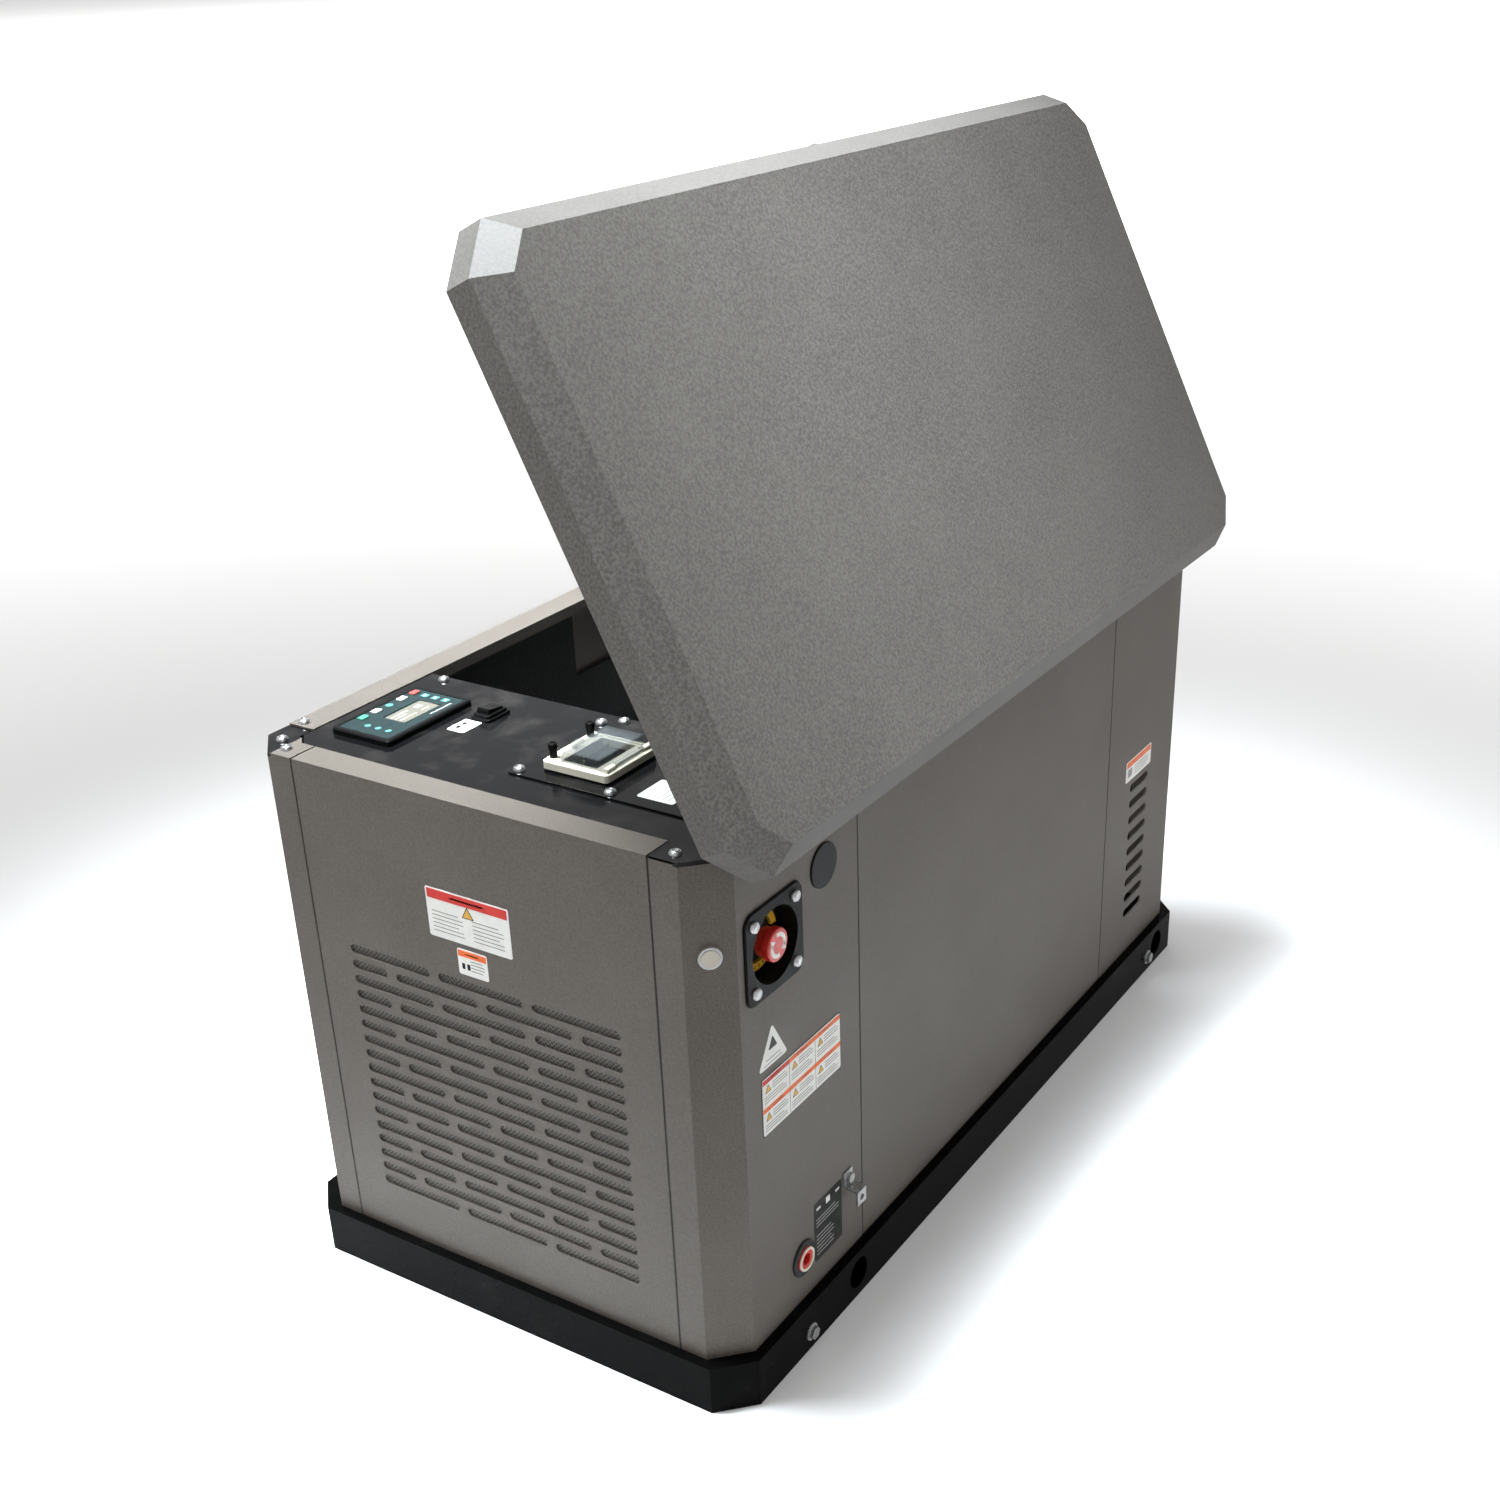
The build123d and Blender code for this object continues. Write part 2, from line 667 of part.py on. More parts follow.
with BuildPart() as breaker_frame:
    with BuildSketch(Plane.XY.offset(box_foot + base_rim)):
        with Locations(box_middle):
            RectangleRounded(box_length, box_width, 5)
            Rectangle(box_length - 20, box_width - 40, mode=Mode.SUBTRACT)
    extrude(amount=frame_rim)
    chamfer(faces().sort_by(Axis.Z)[-1].outer_wire().edges(), length=1.2)
    drill(knob_points, knob_shank_r + knob_fit, box_foot + base_rim - 1, frame_rim + 2)
    lug_x = [box_middle[0] + side * (window_length / 2 - 5) for side in (-1, 1)]
    with BuildSketch(Plane.YZ.offset(box_middle[0])):
        with Locations((window_y0, window_hinge_z)):
            Circle(window_barrel_r)
        with Locations((window_y0, frame_top)):
            Rectangle(2 * window_barrel_r, 4)
    extrude(amount=window_length / 2, both=True)
    with BuildSketch(Plane.YZ.offset(box_middle[0])):
        with Locations((window_y0, window_hinge_z)):
            Circle(window_barrel_r + 0.5)
        with Locations((window_y0, frame_top + 3)):
            Rectangle(2 * window_barrel_r + 2, 6)
    extrude(amount=window_length / 2 - 14, both=True, mode=Mode.SUBTRACT)
    with BuildSketch(Plane.YZ.offset(box_middle[0])):
        with Locations((window_y0, window_hinge_z)):
            Circle(window_pin_r)
    extrude(amount=window_length / 2, both=True)
finish(breaker_frame, "breaker_frame")

with BuildPart() as breaker_window:
    rise = 12.0
    pane = 2.0
    barrel_half = window_length / 2 - 14 - 0.4
    window_foot = frame_top + 0.4
    half_pane = window_length / 2 - 1
    for inset, mode in ((0, Mode.ADD), (pane, Mode.SUBTRACT)):
        with BuildSketch(Plane.YZ.offset(box_middle[0])):
            with BuildLine():
                Polyline((window_y0 + 4.5 + inset, window_foot),
                         (window_y0 + 8 + inset, window_foot + rise - inset),
                         (window_y1 - 4 - inset, window_foot + rise - inset), (window_y1 - inset, window_foot),
                         close=True)
            make_face()
        extrude(amount=half_pane - inset, both=True, mode=mode)
    chamfer(edges().filter_by(Axis.X).group_by(Axis.Z)[-1], length=1)
    with BuildSketch(Plane.YZ.offset(box_middle[0])):
        with Locations((window_y0, window_hinge_z)):
            Circle(window_barrel_r)
        with Locations((window_y0 + 3.2, frame_top + 2.0)):
            Rectangle(6.4, 3.2)
        with Locations((window_y0, window_hinge_z)):
            Circle(window_pin_r + 0.08, mode=Mode.SUBTRACT)
    extrude(amount=barrel_half, both=True)
    with BuildSketch(Plane.YZ.offset(box_middle[0])):
        with Locations((window_y1 + 3.5, frame_top + 4.4)):
            RectangleRounded(10.5, 7.6, 3.4)
    extrude(amount=6, both=True)
finish(breaker_window, "breaker_window")

toggle_pivot = frame_top - 9.0
with BuildPart() as breaker_module:
    module_top = frame_top - 7.0
    with BuildSketch(Plane.XY.offset(panel_top - 34)):
        with Locations(box_middle):
            Rectangle(box_length - 24, box_width - 44)
    extrude(amount=module_top - panel_top + 34)
    with BuildSketch(Plane.YZ.offset(box_middle[0])):
        with Locations((box_middle[1], toggle_pivot)):
            Circle(7.3)
    extrude(amount=20.3, both=True, mode=Mode.SUBTRACT)
    for side in (-1, 1):
        with Locations((box_middle[0] + side * (box_length / 2 - 9.5), box_middle[1], box_foot + base_rim / 2)):
            Box(5, 30, base_rim)
finish(breaker_module, "breaker_module")

with BuildPart() as breaker_toggle:
    with BuildSketch(Plane.YZ.offset(box_middle[0])):
        with Locations((box_middle[1], toggle_pivot)):
            Circle(7)
        with Locations((box_middle[1] + 2.5, toggle_pivot + 6)):
            Rectangle(4, 10, rotation=-20)
    extrude(amount=20, both=True)
finish(breaker_toggle, "breaker_toggle")


def thumb_knob(x):
    """Captive screw with a ribbed head."""
    with BuildPart() as knob:
        with BuildSketch(Plane.XY.offset(box_foot + 3)):
            with Locations((x, knob_y)):
                Circle(knob_shank_r)
        extrude(amount=frame_top - box_foot - 3)
        with BuildSketch(Plane.XY.offset(frame_top + 0.3)):
            with Locations((x, knob_y)):
                Circle(knob_r - 1)
                Circle(knob_shank_r)
        extrude(amount=knob_height - 7)
        with BuildSketch(Plane.XY.offset(frame_top)):
            with Locations((x, knob_y)):
                Circle(knob_shank_r)
        extrude(amount=1)
        with BuildSketch(Plane.XY.offset(frame_top + knob_height - 7)):
            with Locations((x, knob_y)):
                Circle(knob_r)
        extrude(amount=7)
        chamfer(knob.faces().sort_by(Axis.Z)[-1].edges(), length=0.8)
        with BuildSketch(Plane.XY.offset(frame_top + knob_height - 1.5)):
            with Locations((x, knob_y)):
                Rectangle(6, 1.4)
                Rectangle(1.4, 6)
        extrude(amount=2, mode=Mode.SUBTRACT)
    return knob


finish(thumb_knob(knob_x[0]), "thumb_knob_left")
finish(thumb_knob(knob_x[1]), "thumb_knob_right")

# ================================================================ emergency stop
cup_depth = 25.0
cup_wall = 2.0
head_r = 18.0
head_face = 6.0            # face of the head outside the front wall
head_depth = 18.0
plate_thickness = 3.0
plunger_r = 8.0
plunger_fit = 0.08
stop_travel = 4.0

with BuildPart() as estop_plate:
    with BuildSketch(front_plane):
        with Locations((estop_x, estop_z)):
            RectangleRounded(estop_plate_side, estop_plate_side, 14)
            Circle(estop_cup_r - 1.5, mode=Mode.SUBTRACT)
        with Locations(*estop_screws):
            Circle(screw_hole_r, mode=Mode.SUBTRACT)
    extrude(amount=plate_thickness)
    chamfer(faces().sort_by(Axis.Y)[0].outer_wire().edges(), length=1.4)
finish(estop_plate, "estop_plate")

with BuildPart() as estop_cup:
    with BuildSketch(front_plane):
        with Locations((estop_x, estop_z)):
            Circle(estop_cup_r)
    extrude(amount=-cup_depth)
    with BuildSketch(front_plane):
        with Locations((estop_x, estop_z)):
            Circle(estop_cup_r - cup_wall)
    extrude(amount=-(cup_depth - 3), mode=Mode.SUBTRACT)
    with BuildSketch(front_plane.offset(-cup_depth + 3)):
        with Locations((estop_x, estop_z)):
            Circle(14)
    extrude(amount=4)
    with BuildSketch(front_plane.offset(-cup_depth)):
        with Locations((estop_x, estop_z)):
            Circle(17)
    extrude(amount=-22)
    with BuildSketch(front_plane.offset(8)):
        with Locations((estop_x, estop_z)):
            Circle(plunger_r + plunger_fit)
    extrude(amount=-(8 + cup_depth + 18), mode=Mode.SUBTRACT)
finish(estop_cup, "estop_cup")

with BuildPart() as estop_plunger:
    with BuildSketch(front_plane.offset(head_face - 6)):
        with Locations((estop_x, estop_z)):
            Circle(plunger_r)
    extrude(amount=-(cup_depth + 18 - stop_travel - 2 + head_face - 6))
finish(estop_plunger, "estop_plunger")

with BuildPart() as estop_head:
    with BuildSketch(front_plane.offset(head_face)):
        with Locations((estop_x, estop_z)):
            Circle(head_r)
    extrude(amount=-9)
    fillet(edges().filter_by(GeomType.CIRCLE).sort_by(Axis.Y)[0], radius=2.2)
    with BuildSketch(front_plane.offset(head_face - 9)):
        with Locations((estop_x, estop_z)):
            Circle(head_r - 2.5)
    extrude(amount=-(head_depth - 9))
    with BuildSketch(front_plane.offset(head_face - 6)):
        with Locations((estop_x, estop_z)):
            Circle(plunger_r + hinge_press)
    extrude(amount=-head_depth, mode=Mode.SUBTRACT)
finish(estop_head, "estop_head")

# ================================================================ small front fittings
with BuildPart() as status_lamp:
    with BuildSketch(lamp_plane):
        Circle(12)
    extrude(amount=2.2)
    chamfer(faces().sort_by(Axis((0, 0, 0), (-1, -1, 0)))[-1].edges(), length=0.9)
    with BuildSketch(lamp_plane):
        Circle(9.4)
    extrude(amount=4)
    fillet(faces().sort_by(Axis((0, 0, 0), (-1, -1, 0)))[-1].edges(), radius=1.2)
    with BuildSketch(lamp_plane):
        Circle(lamp_hole_r - 0.3)
    extrude(amount=-16)
finish(status_lamp, "status_lamp")

with BuildPart() as blanking_plug:
    with BuildSketch(front_plane):
        with Locations((plug_x, plug_z)):
            Circle(plug_hole_r + 3)
    extrude(amount=2)
    fillet(faces().sort_by(Axis.Y)[0].edges(), radius=1.2)
    with BuildSketch(front_plane):
        with Locations((plug_x, plug_z)):
            Circle(plug_hole_r - 0.3)
    extrude(amount=-6)
finish(blanking_plug, "blanking_plug")

fuel_cap_r = 11.0
with BuildPart() as fuel_inlet:
    with BuildSketch(front_plane):
        with Locations((fuel_x, fuel_z)):
            Circle(fuel_hole_r + 4)
    extrude(amount=3)
    fillet(faces().sort_by(Axis.Y)[0].edges(), radius=1.5)
    with BuildSketch(front_plane):
        with Locations((fuel_x, fuel_z)):
            Circle(fuel_hole_r - 0.3)
    extrude(amount=-24)
    with BuildSketch(front_plane.offset(4)):
        with Locations((fuel_x, fuel_z)):
            Circle(fuel_cap_r + 0.3)
    extrude(amount=-32, mode=Mode.SUBTRACT)
finish(fuel_inlet, "fuel_inlet")

with BuildPart() as fuel_cap:
    with BuildSketch(front_plane.offset(3)):
        with Locations((fuel_x, fuel_z)):
            Circle(fuel_cap_r + 3.5)
    extrude(amount=1.6)
    with BuildSketch(front_plane.offset(4)):
        with Locations((fuel_x, fuel_z)):
            Circle(fuel_cap_r)
    extrude(amount=-22)
    with BuildSketch(front_plane.offset(5)):
        with Locations((fuel_x, fuel_z)):
            Circle(fuel_cap_r - 4)
    extrude(amount=-9, mode=Mode.SUBTRACT)
finish(fuel_cap, "fuel_cap")

earth_x = -366.0
earth_z = 165.0
earth_width = 18.0
earth_sheet = 2.5
earth_reach = 20.0
with BuildPart() as ground_bracket:
    with BuildSketch(Plane.YZ.offset(earth_x)):
        with BuildLine():
            Polyline((-half_y, earth_z + 9), (-half_y - earth_sheet, earth_z + 9),
                     (-half_y - earth_sheet, earth_z - 8), (-half_y - earth_reach, earth_z - 11),
                     (-half_y - earth_reach, earth_z - 29), (-half_y - earth_reach + earth_sheet, earth_z - 29),
                     (-half_y - earth_reach + earth_sheet, earth_z - 13), (-half_y, earth_z - 10), close=True)
        make_face()
    extrude(amount=earth_width / 2, both=True)
    with BuildSketch(Plane.XZ.offset(half_y + earth_reach + 1)):
        with Locations((earth_x, earth_z - 21)):
            Circle(4)
    extrude(amount=-(earth_sheet + 2), mode=Mode.SUBTRACT)
    with BuildSketch(Plane.XZ.offset(half_y + earth_sheet)):
        with Locations((earth_x, earth_z)):
            RegularPolygon(6.5, 6)
    extrude(amount=5)
finish(ground_bracket, "ground_bracket")

# ================================================================ screws and tie bolts
tie_head_r = 8.0
tie_washer_r = 10.5


def pan_heads(plane, points):
    """Pan-head screws, each seated on plane with its shank behind."""
    with BuildSketch(plane) as heads:
        with Locations(*points):
            Circle(screw_head_r)
    extrude(heads.sketch, amount=screw_head_height, taper=18)
    with BuildSketch(plane) as shanks:
        with Locations(*points):
            Circle(screw_r)
    extrude(shanks.sketch, amount=-screw_length)


with BuildPart() as fasteners:
    pan_heads(Plane.XY.offset(body_top), flange_screws)
    pan_heads(Plane.XY.offset(flange_under), gusset_screws)
    pan_heads(Plane.XY.offset(panel_top), panel_screws)
    pan_heads(Plane.XY.offset(panel_top + plate_sheet), plate_screws)
    pan_heads(front_plane.offset(plate_thickness), estop_screws)
    for side in (-1, 1):
        rail_face = Plane(origin=(0, side * base_width / 2, 0), x_dir=(1, 0, 0), z_dir=(0, side, 0))
        points = [(x, -side * tie_bolt_z) for x in tie_bolt_x]
        with BuildSketch(rail_face):
            with Locations(*points):
                Circle(tie_washer_r)
        extrude(amount=1.8)
        with BuildSketch(rail_face.offset(1.8)):
            with Locations(*points):
                RegularPolygon(tie_head_r, 6)
        extrude(amount=5)
finish(fasteners, "fasteners")


# ================================================================ hinges
def knuckle_spans(middle):
    """Start and end along X of each knuckle of one hinge."""
    pitch = hinge_length / hinge_knuckles
    first = middle - hinge_length / 2
    return [(first + i * pitch + hinge_gap / 2, first + (i + 1) * pitch - hinge_gap / 2)
            for i in range(hinge_knuckles)]


def hinge_leaves(plane_at, leaf_low, leaf_high, start, bore_r, own):
    """Leaves and knuckles; own picks the even or the odd knuckles."""
    for middle in hinge_x:
        with BuildSketch(plane_at(middle)) as leaf:
            with Locations(((leaf_low + leaf_high) / 2, start * (hinge_r + 1.2 + hinge_leaf_length) / 2)):
                Rectangle(leaf_high - leaf_low, hinge_leaf_length - hinge_r - 1.2)
        extrude(leaf.sketch, amount=hinge_length / 2, both=True)
        for x0, x1 in knuckle_spans(middle)[own::2]:
            with BuildSketch(plane_at((x0 + x1) / 2)) as knuckle:
                Circle(hinge_r)
                with Locations(((leaf_low + leaf_high) / 2, start * (hinge_r + 3) / 2)):
                    Rectangle(leaf_high - leaf_low, hinge_r + 3)
                Circle(bore_r, mode=Mode.SUBTRACT)
            extrude(knuckle.sketch, amount=(x1 - x0) / 2, both=True)


def fixed_section(x):
    """Plane across the pin with +Y and +Z as its axes."""
    return Plane(origin=(x, hinge_y, hinge_z), x_dir=(0, 1, 0), z_dir=(1, 0, 0))


def lid_section(x):
    """The same plane turned with the lid."""
    return Plane(origin=(x, hinge_y, hinge_z), x_dir=(0, cos(tilt), sin(tilt)), z_dir=(1, 0, 0))


with BuildPart() as hinge_base_leaves:
    hinge_leaves(fixed_section, hinge_r - hinge_leaf, hinge_r, -1, hinge_pin_r + hinge_press, 0)
    for middle in hinge_x:
        with BuildSketch(fixed_section(middle)):
            Circle(hinge_pin_r)
        extrude(amount=hinge_length / 2 + 1, both=True)
finish(hinge_base_leaves, "hinge_base_leaves")

with BuildPart() as hinge_lid_leaves:
    hinge_leaves(lid_section, -hinge_r, -hinge_r + hinge_leaf, 1, hinge_pin_r + hinge_fit, 1)
finish(hinge_lid_leaves, "hinge_lid_leaves")


# ================================================================ lid
def lid_form(inset, bottom, mode):
    """Skirt and bevelled crown of the lid, or the hollow inside them."""
    shoulder = lid_edge + lid_skirt - inset * 0.4
    with BuildSketch(lid_plane.offset(bottom)) as edge:
        octagon(lid_length, lid_width, lid_cut, inset, lid_middle)
    extrude(edge.sketch, amount=shoulder - bottom, mode=mode)
    with BuildSketch(lid_plane.offset(shoulder)) as lower:
        octagon(lid_length, lid_width, lid_cut, inset, lid_middle)
    with BuildSketch(lid_plane.offset(lid_top - inset)) as upper:
        octagon(lid_length, lid_width, lid_cut, lid_run + inset * 0.6, lid_middle)
    loft([lower.sketch, upper.sketch], mode=mode)


with BuildPart() as lid_shell:
    lid_form(0, lid_edge, Mode.ADD)
    lid_form(sheet, lid_edge, Mode.SUBTRACT)
    latch_face = Plane(
        origin=(0, hinge_y + (lid_middle + lid_width / 2) * cos(tilt) - latch_height * sin(tilt),
                hinge_z + (lid_middle + lid_width / 2) * sin(tilt) + latch_height * cos(tilt)),
        x_dir=(1, 0, 0),
        z_dir=(0, cos(tilt), sin(tilt)),
    )
    latch_shaft_r = 5.0
    punch(latch_face, [(0, 0)], latch_shaft_r + 0.08, sheet + 2)
finish(lid_shell, "lid_shell")

with BuildPart() as lid_liner:
    with BuildSketch(lid_plane.offset(lid_top - sheet - liner_thickness)):
        with Locations((0, lid_middle)):
            Rectangle(liner_length, lid_width - 2 * (lid_run + liner_margin))
            fillet(vertices(), radius=20)
    extrude(amount=liner_thickness)
finish(lid_liner, "lid_liner")

with BuildPart() as lid_latch:
    with BuildSketch(latch_face.offset(-sheet - 6)):
        Circle(latch_shaft_r)
    extrude(amount=sheet + 6 + 1)
    with BuildSketch(latch_face.offset(-sheet - 6)):
        with BuildLine():
            Polyline((5, -5), (5, 5), (-latch_foot_drop, 5), (-latch_foot_drop, 15), (-latch_foot_drop - 4, 15),
                     (-latch_foot_drop - 4, -5), close=True)
        make_face()
    extrude(amount=3)
    with BuildSketch(latch_face.offset(0.3)):
        Circle(latch_head_r)
    extrude(amount=2.5)
    with BuildSketch(latch_face.offset(1.4)):
        Rectangle(2 * latch_head_r + 2, 2)
    extrude(amount=4, mode=Mode.SUBTRACT)
finish(lid_latch, "lid_latch")

# ================================================================ gas struts
stud_y = -half_y + strut_wall_gap
stud_z = hinge_z - sqrt(strut_arm ** 2 - (stud_y - hinge_y) ** 2)
lid_arm = radians(strut_lid_angle)
lid_stud_v = strut_arm * cos(lid_arm)
lid_stud_h = strut_arm * sin(lid_arm)
lid_stud_y = hinge_y + lid_stud_v * cos(tilt) - lid_stud_h * sin(tilt)
lid_stud_z = hinge_z + lid_stud_v * sin(tilt) + lid_stud_h * cos(tilt)
strut_open = sqrt((lid_stud_y - stud_y) ** 2 + (lid_stud_z - stud_z) ** 2)
strut_dir = ((lid_stud_y - stud_y) / strut_open, (lid_stud_z - stud_z) / strut_open)


def strut_plane(x, along):
    """Plane across the strut at a distance from its lower stud."""
    return Plane(
        origin=(x, stud_y + strut_dir[0] * along, stud_z + strut_dir[1] * along),
        x_dir=(1, 0, 0),
        z_dir=(0, strut_dir[0], strut_dir[1]),
    )


def strut_eye(x, y, z):
    """Plane across a stud."""
    return Plane(origin=(x, y, z), x_dir=(0, 1, 0), z_dir=(1, 0, 0))


with BuildPart() as strut_tubes:
    for side in (-1, 1):
        x = side * strut_x
        with BuildSketch(strut_eye(x, stud_y, stud_z)):
            Circle(strut_eye_r)
        extrude(amount=strut_eye_width / 2, both=True)
        with BuildSketch(strut_plane(x, 4)):
            Circle(rod_r)
        extrude(amount=tube_start)
        with BuildSketch(strut_plane(x, tube_start)):
            Circle(tube_r)
        extrude(amount=tube_length)
        with BuildSketch(strut_plane(x, tube_start + 10)):
            Circle(tube_r - tube_wall)
        extrude(amount=tube_length - 22, mode=Mode.SUBTRACT)
        with BuildSketch(strut_plane(x, tube_start + 10)):
            Circle(rod_r + strut_fit)
        extrude(amount=tube_length, mode=Mode.SUBTRACT)
        with BuildSketch(strut_eye(x, stud_y, stud_z)):
            Circle(strut_stud_r + strut_fit)
        extrude(amount=strut_eye_width, both=True, mode=Mode.SUBTRACT)
finish(strut_tubes, "strut_tubes")

with BuildPart() as strut_rods:
    for side in (-1, 1):
        x = side * strut_x
        with BuildSketch(strut_eye(x, lid_stud_y, lid_stud_z)):
            Circle(strut_eye_r)
        extrude(amount=strut_eye_width / 2, both=True)
        with BuildSketch(strut_plane(x, strut_open - rod_length)):
            Circle(rod_r)
        extrude(amount=rod_length - 4)
        with BuildSketch(strut_plane(x, strut_open - rod_length)):
            Circle(tube_r - tube_wall - piston_clear)
        extrude(amount=10)
        with BuildSketch(strut_eye(x, lid_stud_y, lid_stud_z)):
            Circle(strut_stud_r + strut_fit)
        extrude(amount=strut_eye_width, both=True, mode=Mode.SUBTRACT)
finish(strut_rods, "strut_rods")

shoulder_r = 6.5
mount_plate = 3.0
with BuildPart() as strut_base_mounts:
    for side in (-1, 1):
        face_x = side * (bulkhead_x - sheet)
        with Locations((face_x - side * mount_plate / 2, stud_y + 4, stud_z)):
            Box(mount_plate, 34, 44)
        reach = bulkhead_x - sheet - mount_plate - strut_x - strut_eye_width / 2 - 0.5
        mount_x = side * (bulkhead_x - sheet - mount_plate - reach / 2)
        with BuildSketch(strut_eye(mount_x, stud_y, stud_z)):
            Circle(shoulder_r)
        extrude(amount=reach / 2, both=True)
        stud_length = bulkhead_x - sheet - mount_plate - strut_x + strut_eye_width / 2 + 3
        mount_x = side * (bulkhead_x - sheet - mount_plate - stud_length / 2)
        with BuildSketch(strut_eye(mount_x, stud_y, stud_z)):
            Circle(strut_stud_r)
        extrude(amount=stud_length / 2, both=True)
finish(strut_base_mounts, "strut_base_mounts")

lid_mount_x = strut_x - tube_r - 1.0
with BuildPart() as strut_lid_mounts:
    for side in (-1, 1):
        x_mid = side * (lid_mount_x - mount_plate / 2)
        with BuildSketch(lid_section(x_mid)):
            with BuildLine():
                Polyline((lid_stud_v - 11, lid_stud_h - 9), (lid_stud_v + 11, lid_stud_h - 9),
                         (lid_stud_v + 26, lid_top - sheet), (lid_stud_v - 26, lid_top - sheet), close=True)
            make_face()
        extrude(amount=mount_plate / 2, both=True)
        foot_x = side * (lid_mount_x + 9)
        with BuildSketch(lid_section(foot_x)):
            with Locations((lid_stud_v, lid_top - sheet - mount_plate / 2)):
                Rectangle(52, mount_plate)
        extrude(amount=9 + mount_plate, both=True)
        shoulder_length = strut_x - strut_eye_width / 2 - 0.5 - lid_mount_x
        shoulder_x = side * (lid_mount_x + shoulder_length / 2)
        with BuildSketch(strut_eye(shoulder_x, lid_stud_y, lid_stud_z)):
            Circle(shoulder_r)
        extrude(amount=shoulder_length / 2, both=True)
        stud_reach = strut_x + strut_eye_width / 2 + 3 - lid_mount_x + mount_plate
        stud_mid = side * (lid_mount_x - mount_plate + stud_reach / 2)
        with BuildSketch(strut_eye(stud_mid, lid_stud_y, lid_stud_z)):
            Circle(strut_stud_r)
        extrude(amount=stud_reach / 2, both=True)
finish(strut_lid_mounts, "strut_lid_mounts")

# ================================================================ engine frame
rail_length = 580.0
rail_wall = 3.0
with BuildPart() as isolators:
    with BuildSketch(Plane.XY.offset(base_height)):
        with Locations(*mirrored([(rail_length / 2 - 50, rail_y)])):
            Circle(isolator_r)
    extrude(amount=isolator_height)
    with BuildSketch(Plane.XY.offset(base_height + isolator_height * 0.35)):
        with Locations(*mirrored([(rail_length / 2 - 50, rail_y)])):
            Circle(isolator_r + 1)
            Circle(isolator_r - 4, mode=Mode.SUBTRACT)
    extrude(amount=isolator_height * 0.3, mode=Mode.SUBTRACT)
finish(isolators, "isolators")

rail_foot = base_height + isolator_height
rail_top = rail_foot + rail_section
with BuildPart() as engine_rails:
    with BuildSketch(Plane.YZ):
        with Locations(*[(side * rail_y, rail_foot + rail_section / 2) for side in (-1, 1)]):
            Rectangle(rail_section + 14, rail_section)
            Rectangle(rail_section + 14 - 2 * rail_wall, rail_section - 2 * rail_wall, mode=Mode.SUBTRACT)
    extrude(amount=rail_length / 2, both=True)
finish(engine_rails, "engine_rails")

# ================================================================ engine
case_x0 = 30.0
case_x1 = 240.0
shaft_r = 15.0
shaft_fit = 0.06
deck = 115.0               # cylinder face from the crank axis
flat_top = 140.0
corner = deck * sqrt(2) - flat_top

with BuildPart() as crankcase:
    with BuildSketch(Plane.YZ.offset(case_x0)):
        with BuildLine():
            side_points = [(rail_y + 20, rail_top),
                           (rail_y + 20, rail_top + 18),
                           (flat_top - 14, rail_top + 18),
                           (flat_top, crank_z + corner), (corner, crank_z + flat_top)]
            other = [(-y, z) for y, z in reversed(side_points)]
            Polyline(side_points + other, close=True)
        make_face()
    extrude(amount=case_x1 - case_x0)
    fillet(edges().filter_by(Axis.X).group_by(Axis.Z)[-1], radius=12)
    with BuildSketch(Plane.YZ.offset(case_x0 - 1)):
        with Locations((0, crank_z)):
            Circle(shaft_r + shaft_fit)
    extrude(amount=case_x1 - case_x0 + 2, mode=Mode.SUBTRACT)
finish(crankcase, "crankcase")

cylinder_x = {1: 92.0, -1: 176.0}
cylinder_half = 46.0
barrel_r = 40.0
barrel_height = 128.0
fin_count = 13
fin_thickness = 3.0
head_height = 42.0
cover_height = 22.0


def cylinder_plane(side, out):
    """Plane across a cylinder, its normal leaning 45 degrees from vertical."""
    return Plane(
        origin=(cylinder_x[side], side * out / sqrt(2), crank_z + out / sqrt(2)),
        x_dir=(1, 0, 0),
        z_dir=(0, side, 1),
    )


with BuildPart() as cylinders:
    for side in (1, -1):
        with BuildSketch(cylinder_plane(side, deck)):
            Circle(barrel_r)
        extrude(amount=barrel_height)
        fin_pitch = (barrel_height - fin_thickness) / (fin_count - 1)
        for i in range(fin_count):
            with BuildSketch(cylinder_plane(side, deck + i * fin_pitch)):
                RectangleRounded(2 * cylinder_half, 2 * cylinder_half + 8, 10)
            extrude(amount=fin_thickness)
        with BuildSketch(cylinder_plane(side, deck + barrel_height)):
            RectangleRounded(2 * cylinder_half, 2 * cylinder_half, 8)
        extrude(amount=head_height)
finish(cylinders, "cylinders")

with BuildPart() as valve_covers:
    for side in (1, -1):
        with BuildSketch(cylinder_plane(side, deck + barrel_height + head_height)):
            RectangleRounded(2 * cylinder_half - 8, 2 * cylinder_half - 12, 12)
        extrude(amount=cover_height, taper=8)
        with BuildSketch(cylinder_plane(side, deck + barrel_height + head_height + cover_height)):
            RectangleRounded(2 * cylinder_half - 40, 16, 5)
        extrude(amount=4)
finish(valve_covers, "valve_covers")

# ================================================================ fan, shaft and alternator
shroud_r = 148.0
shroud_x1 = 326.0
shroud_wall = 3.0
fan_x = 262.0
fan_r = 112.0
fan_depth = 34.0
fan_blades = 14

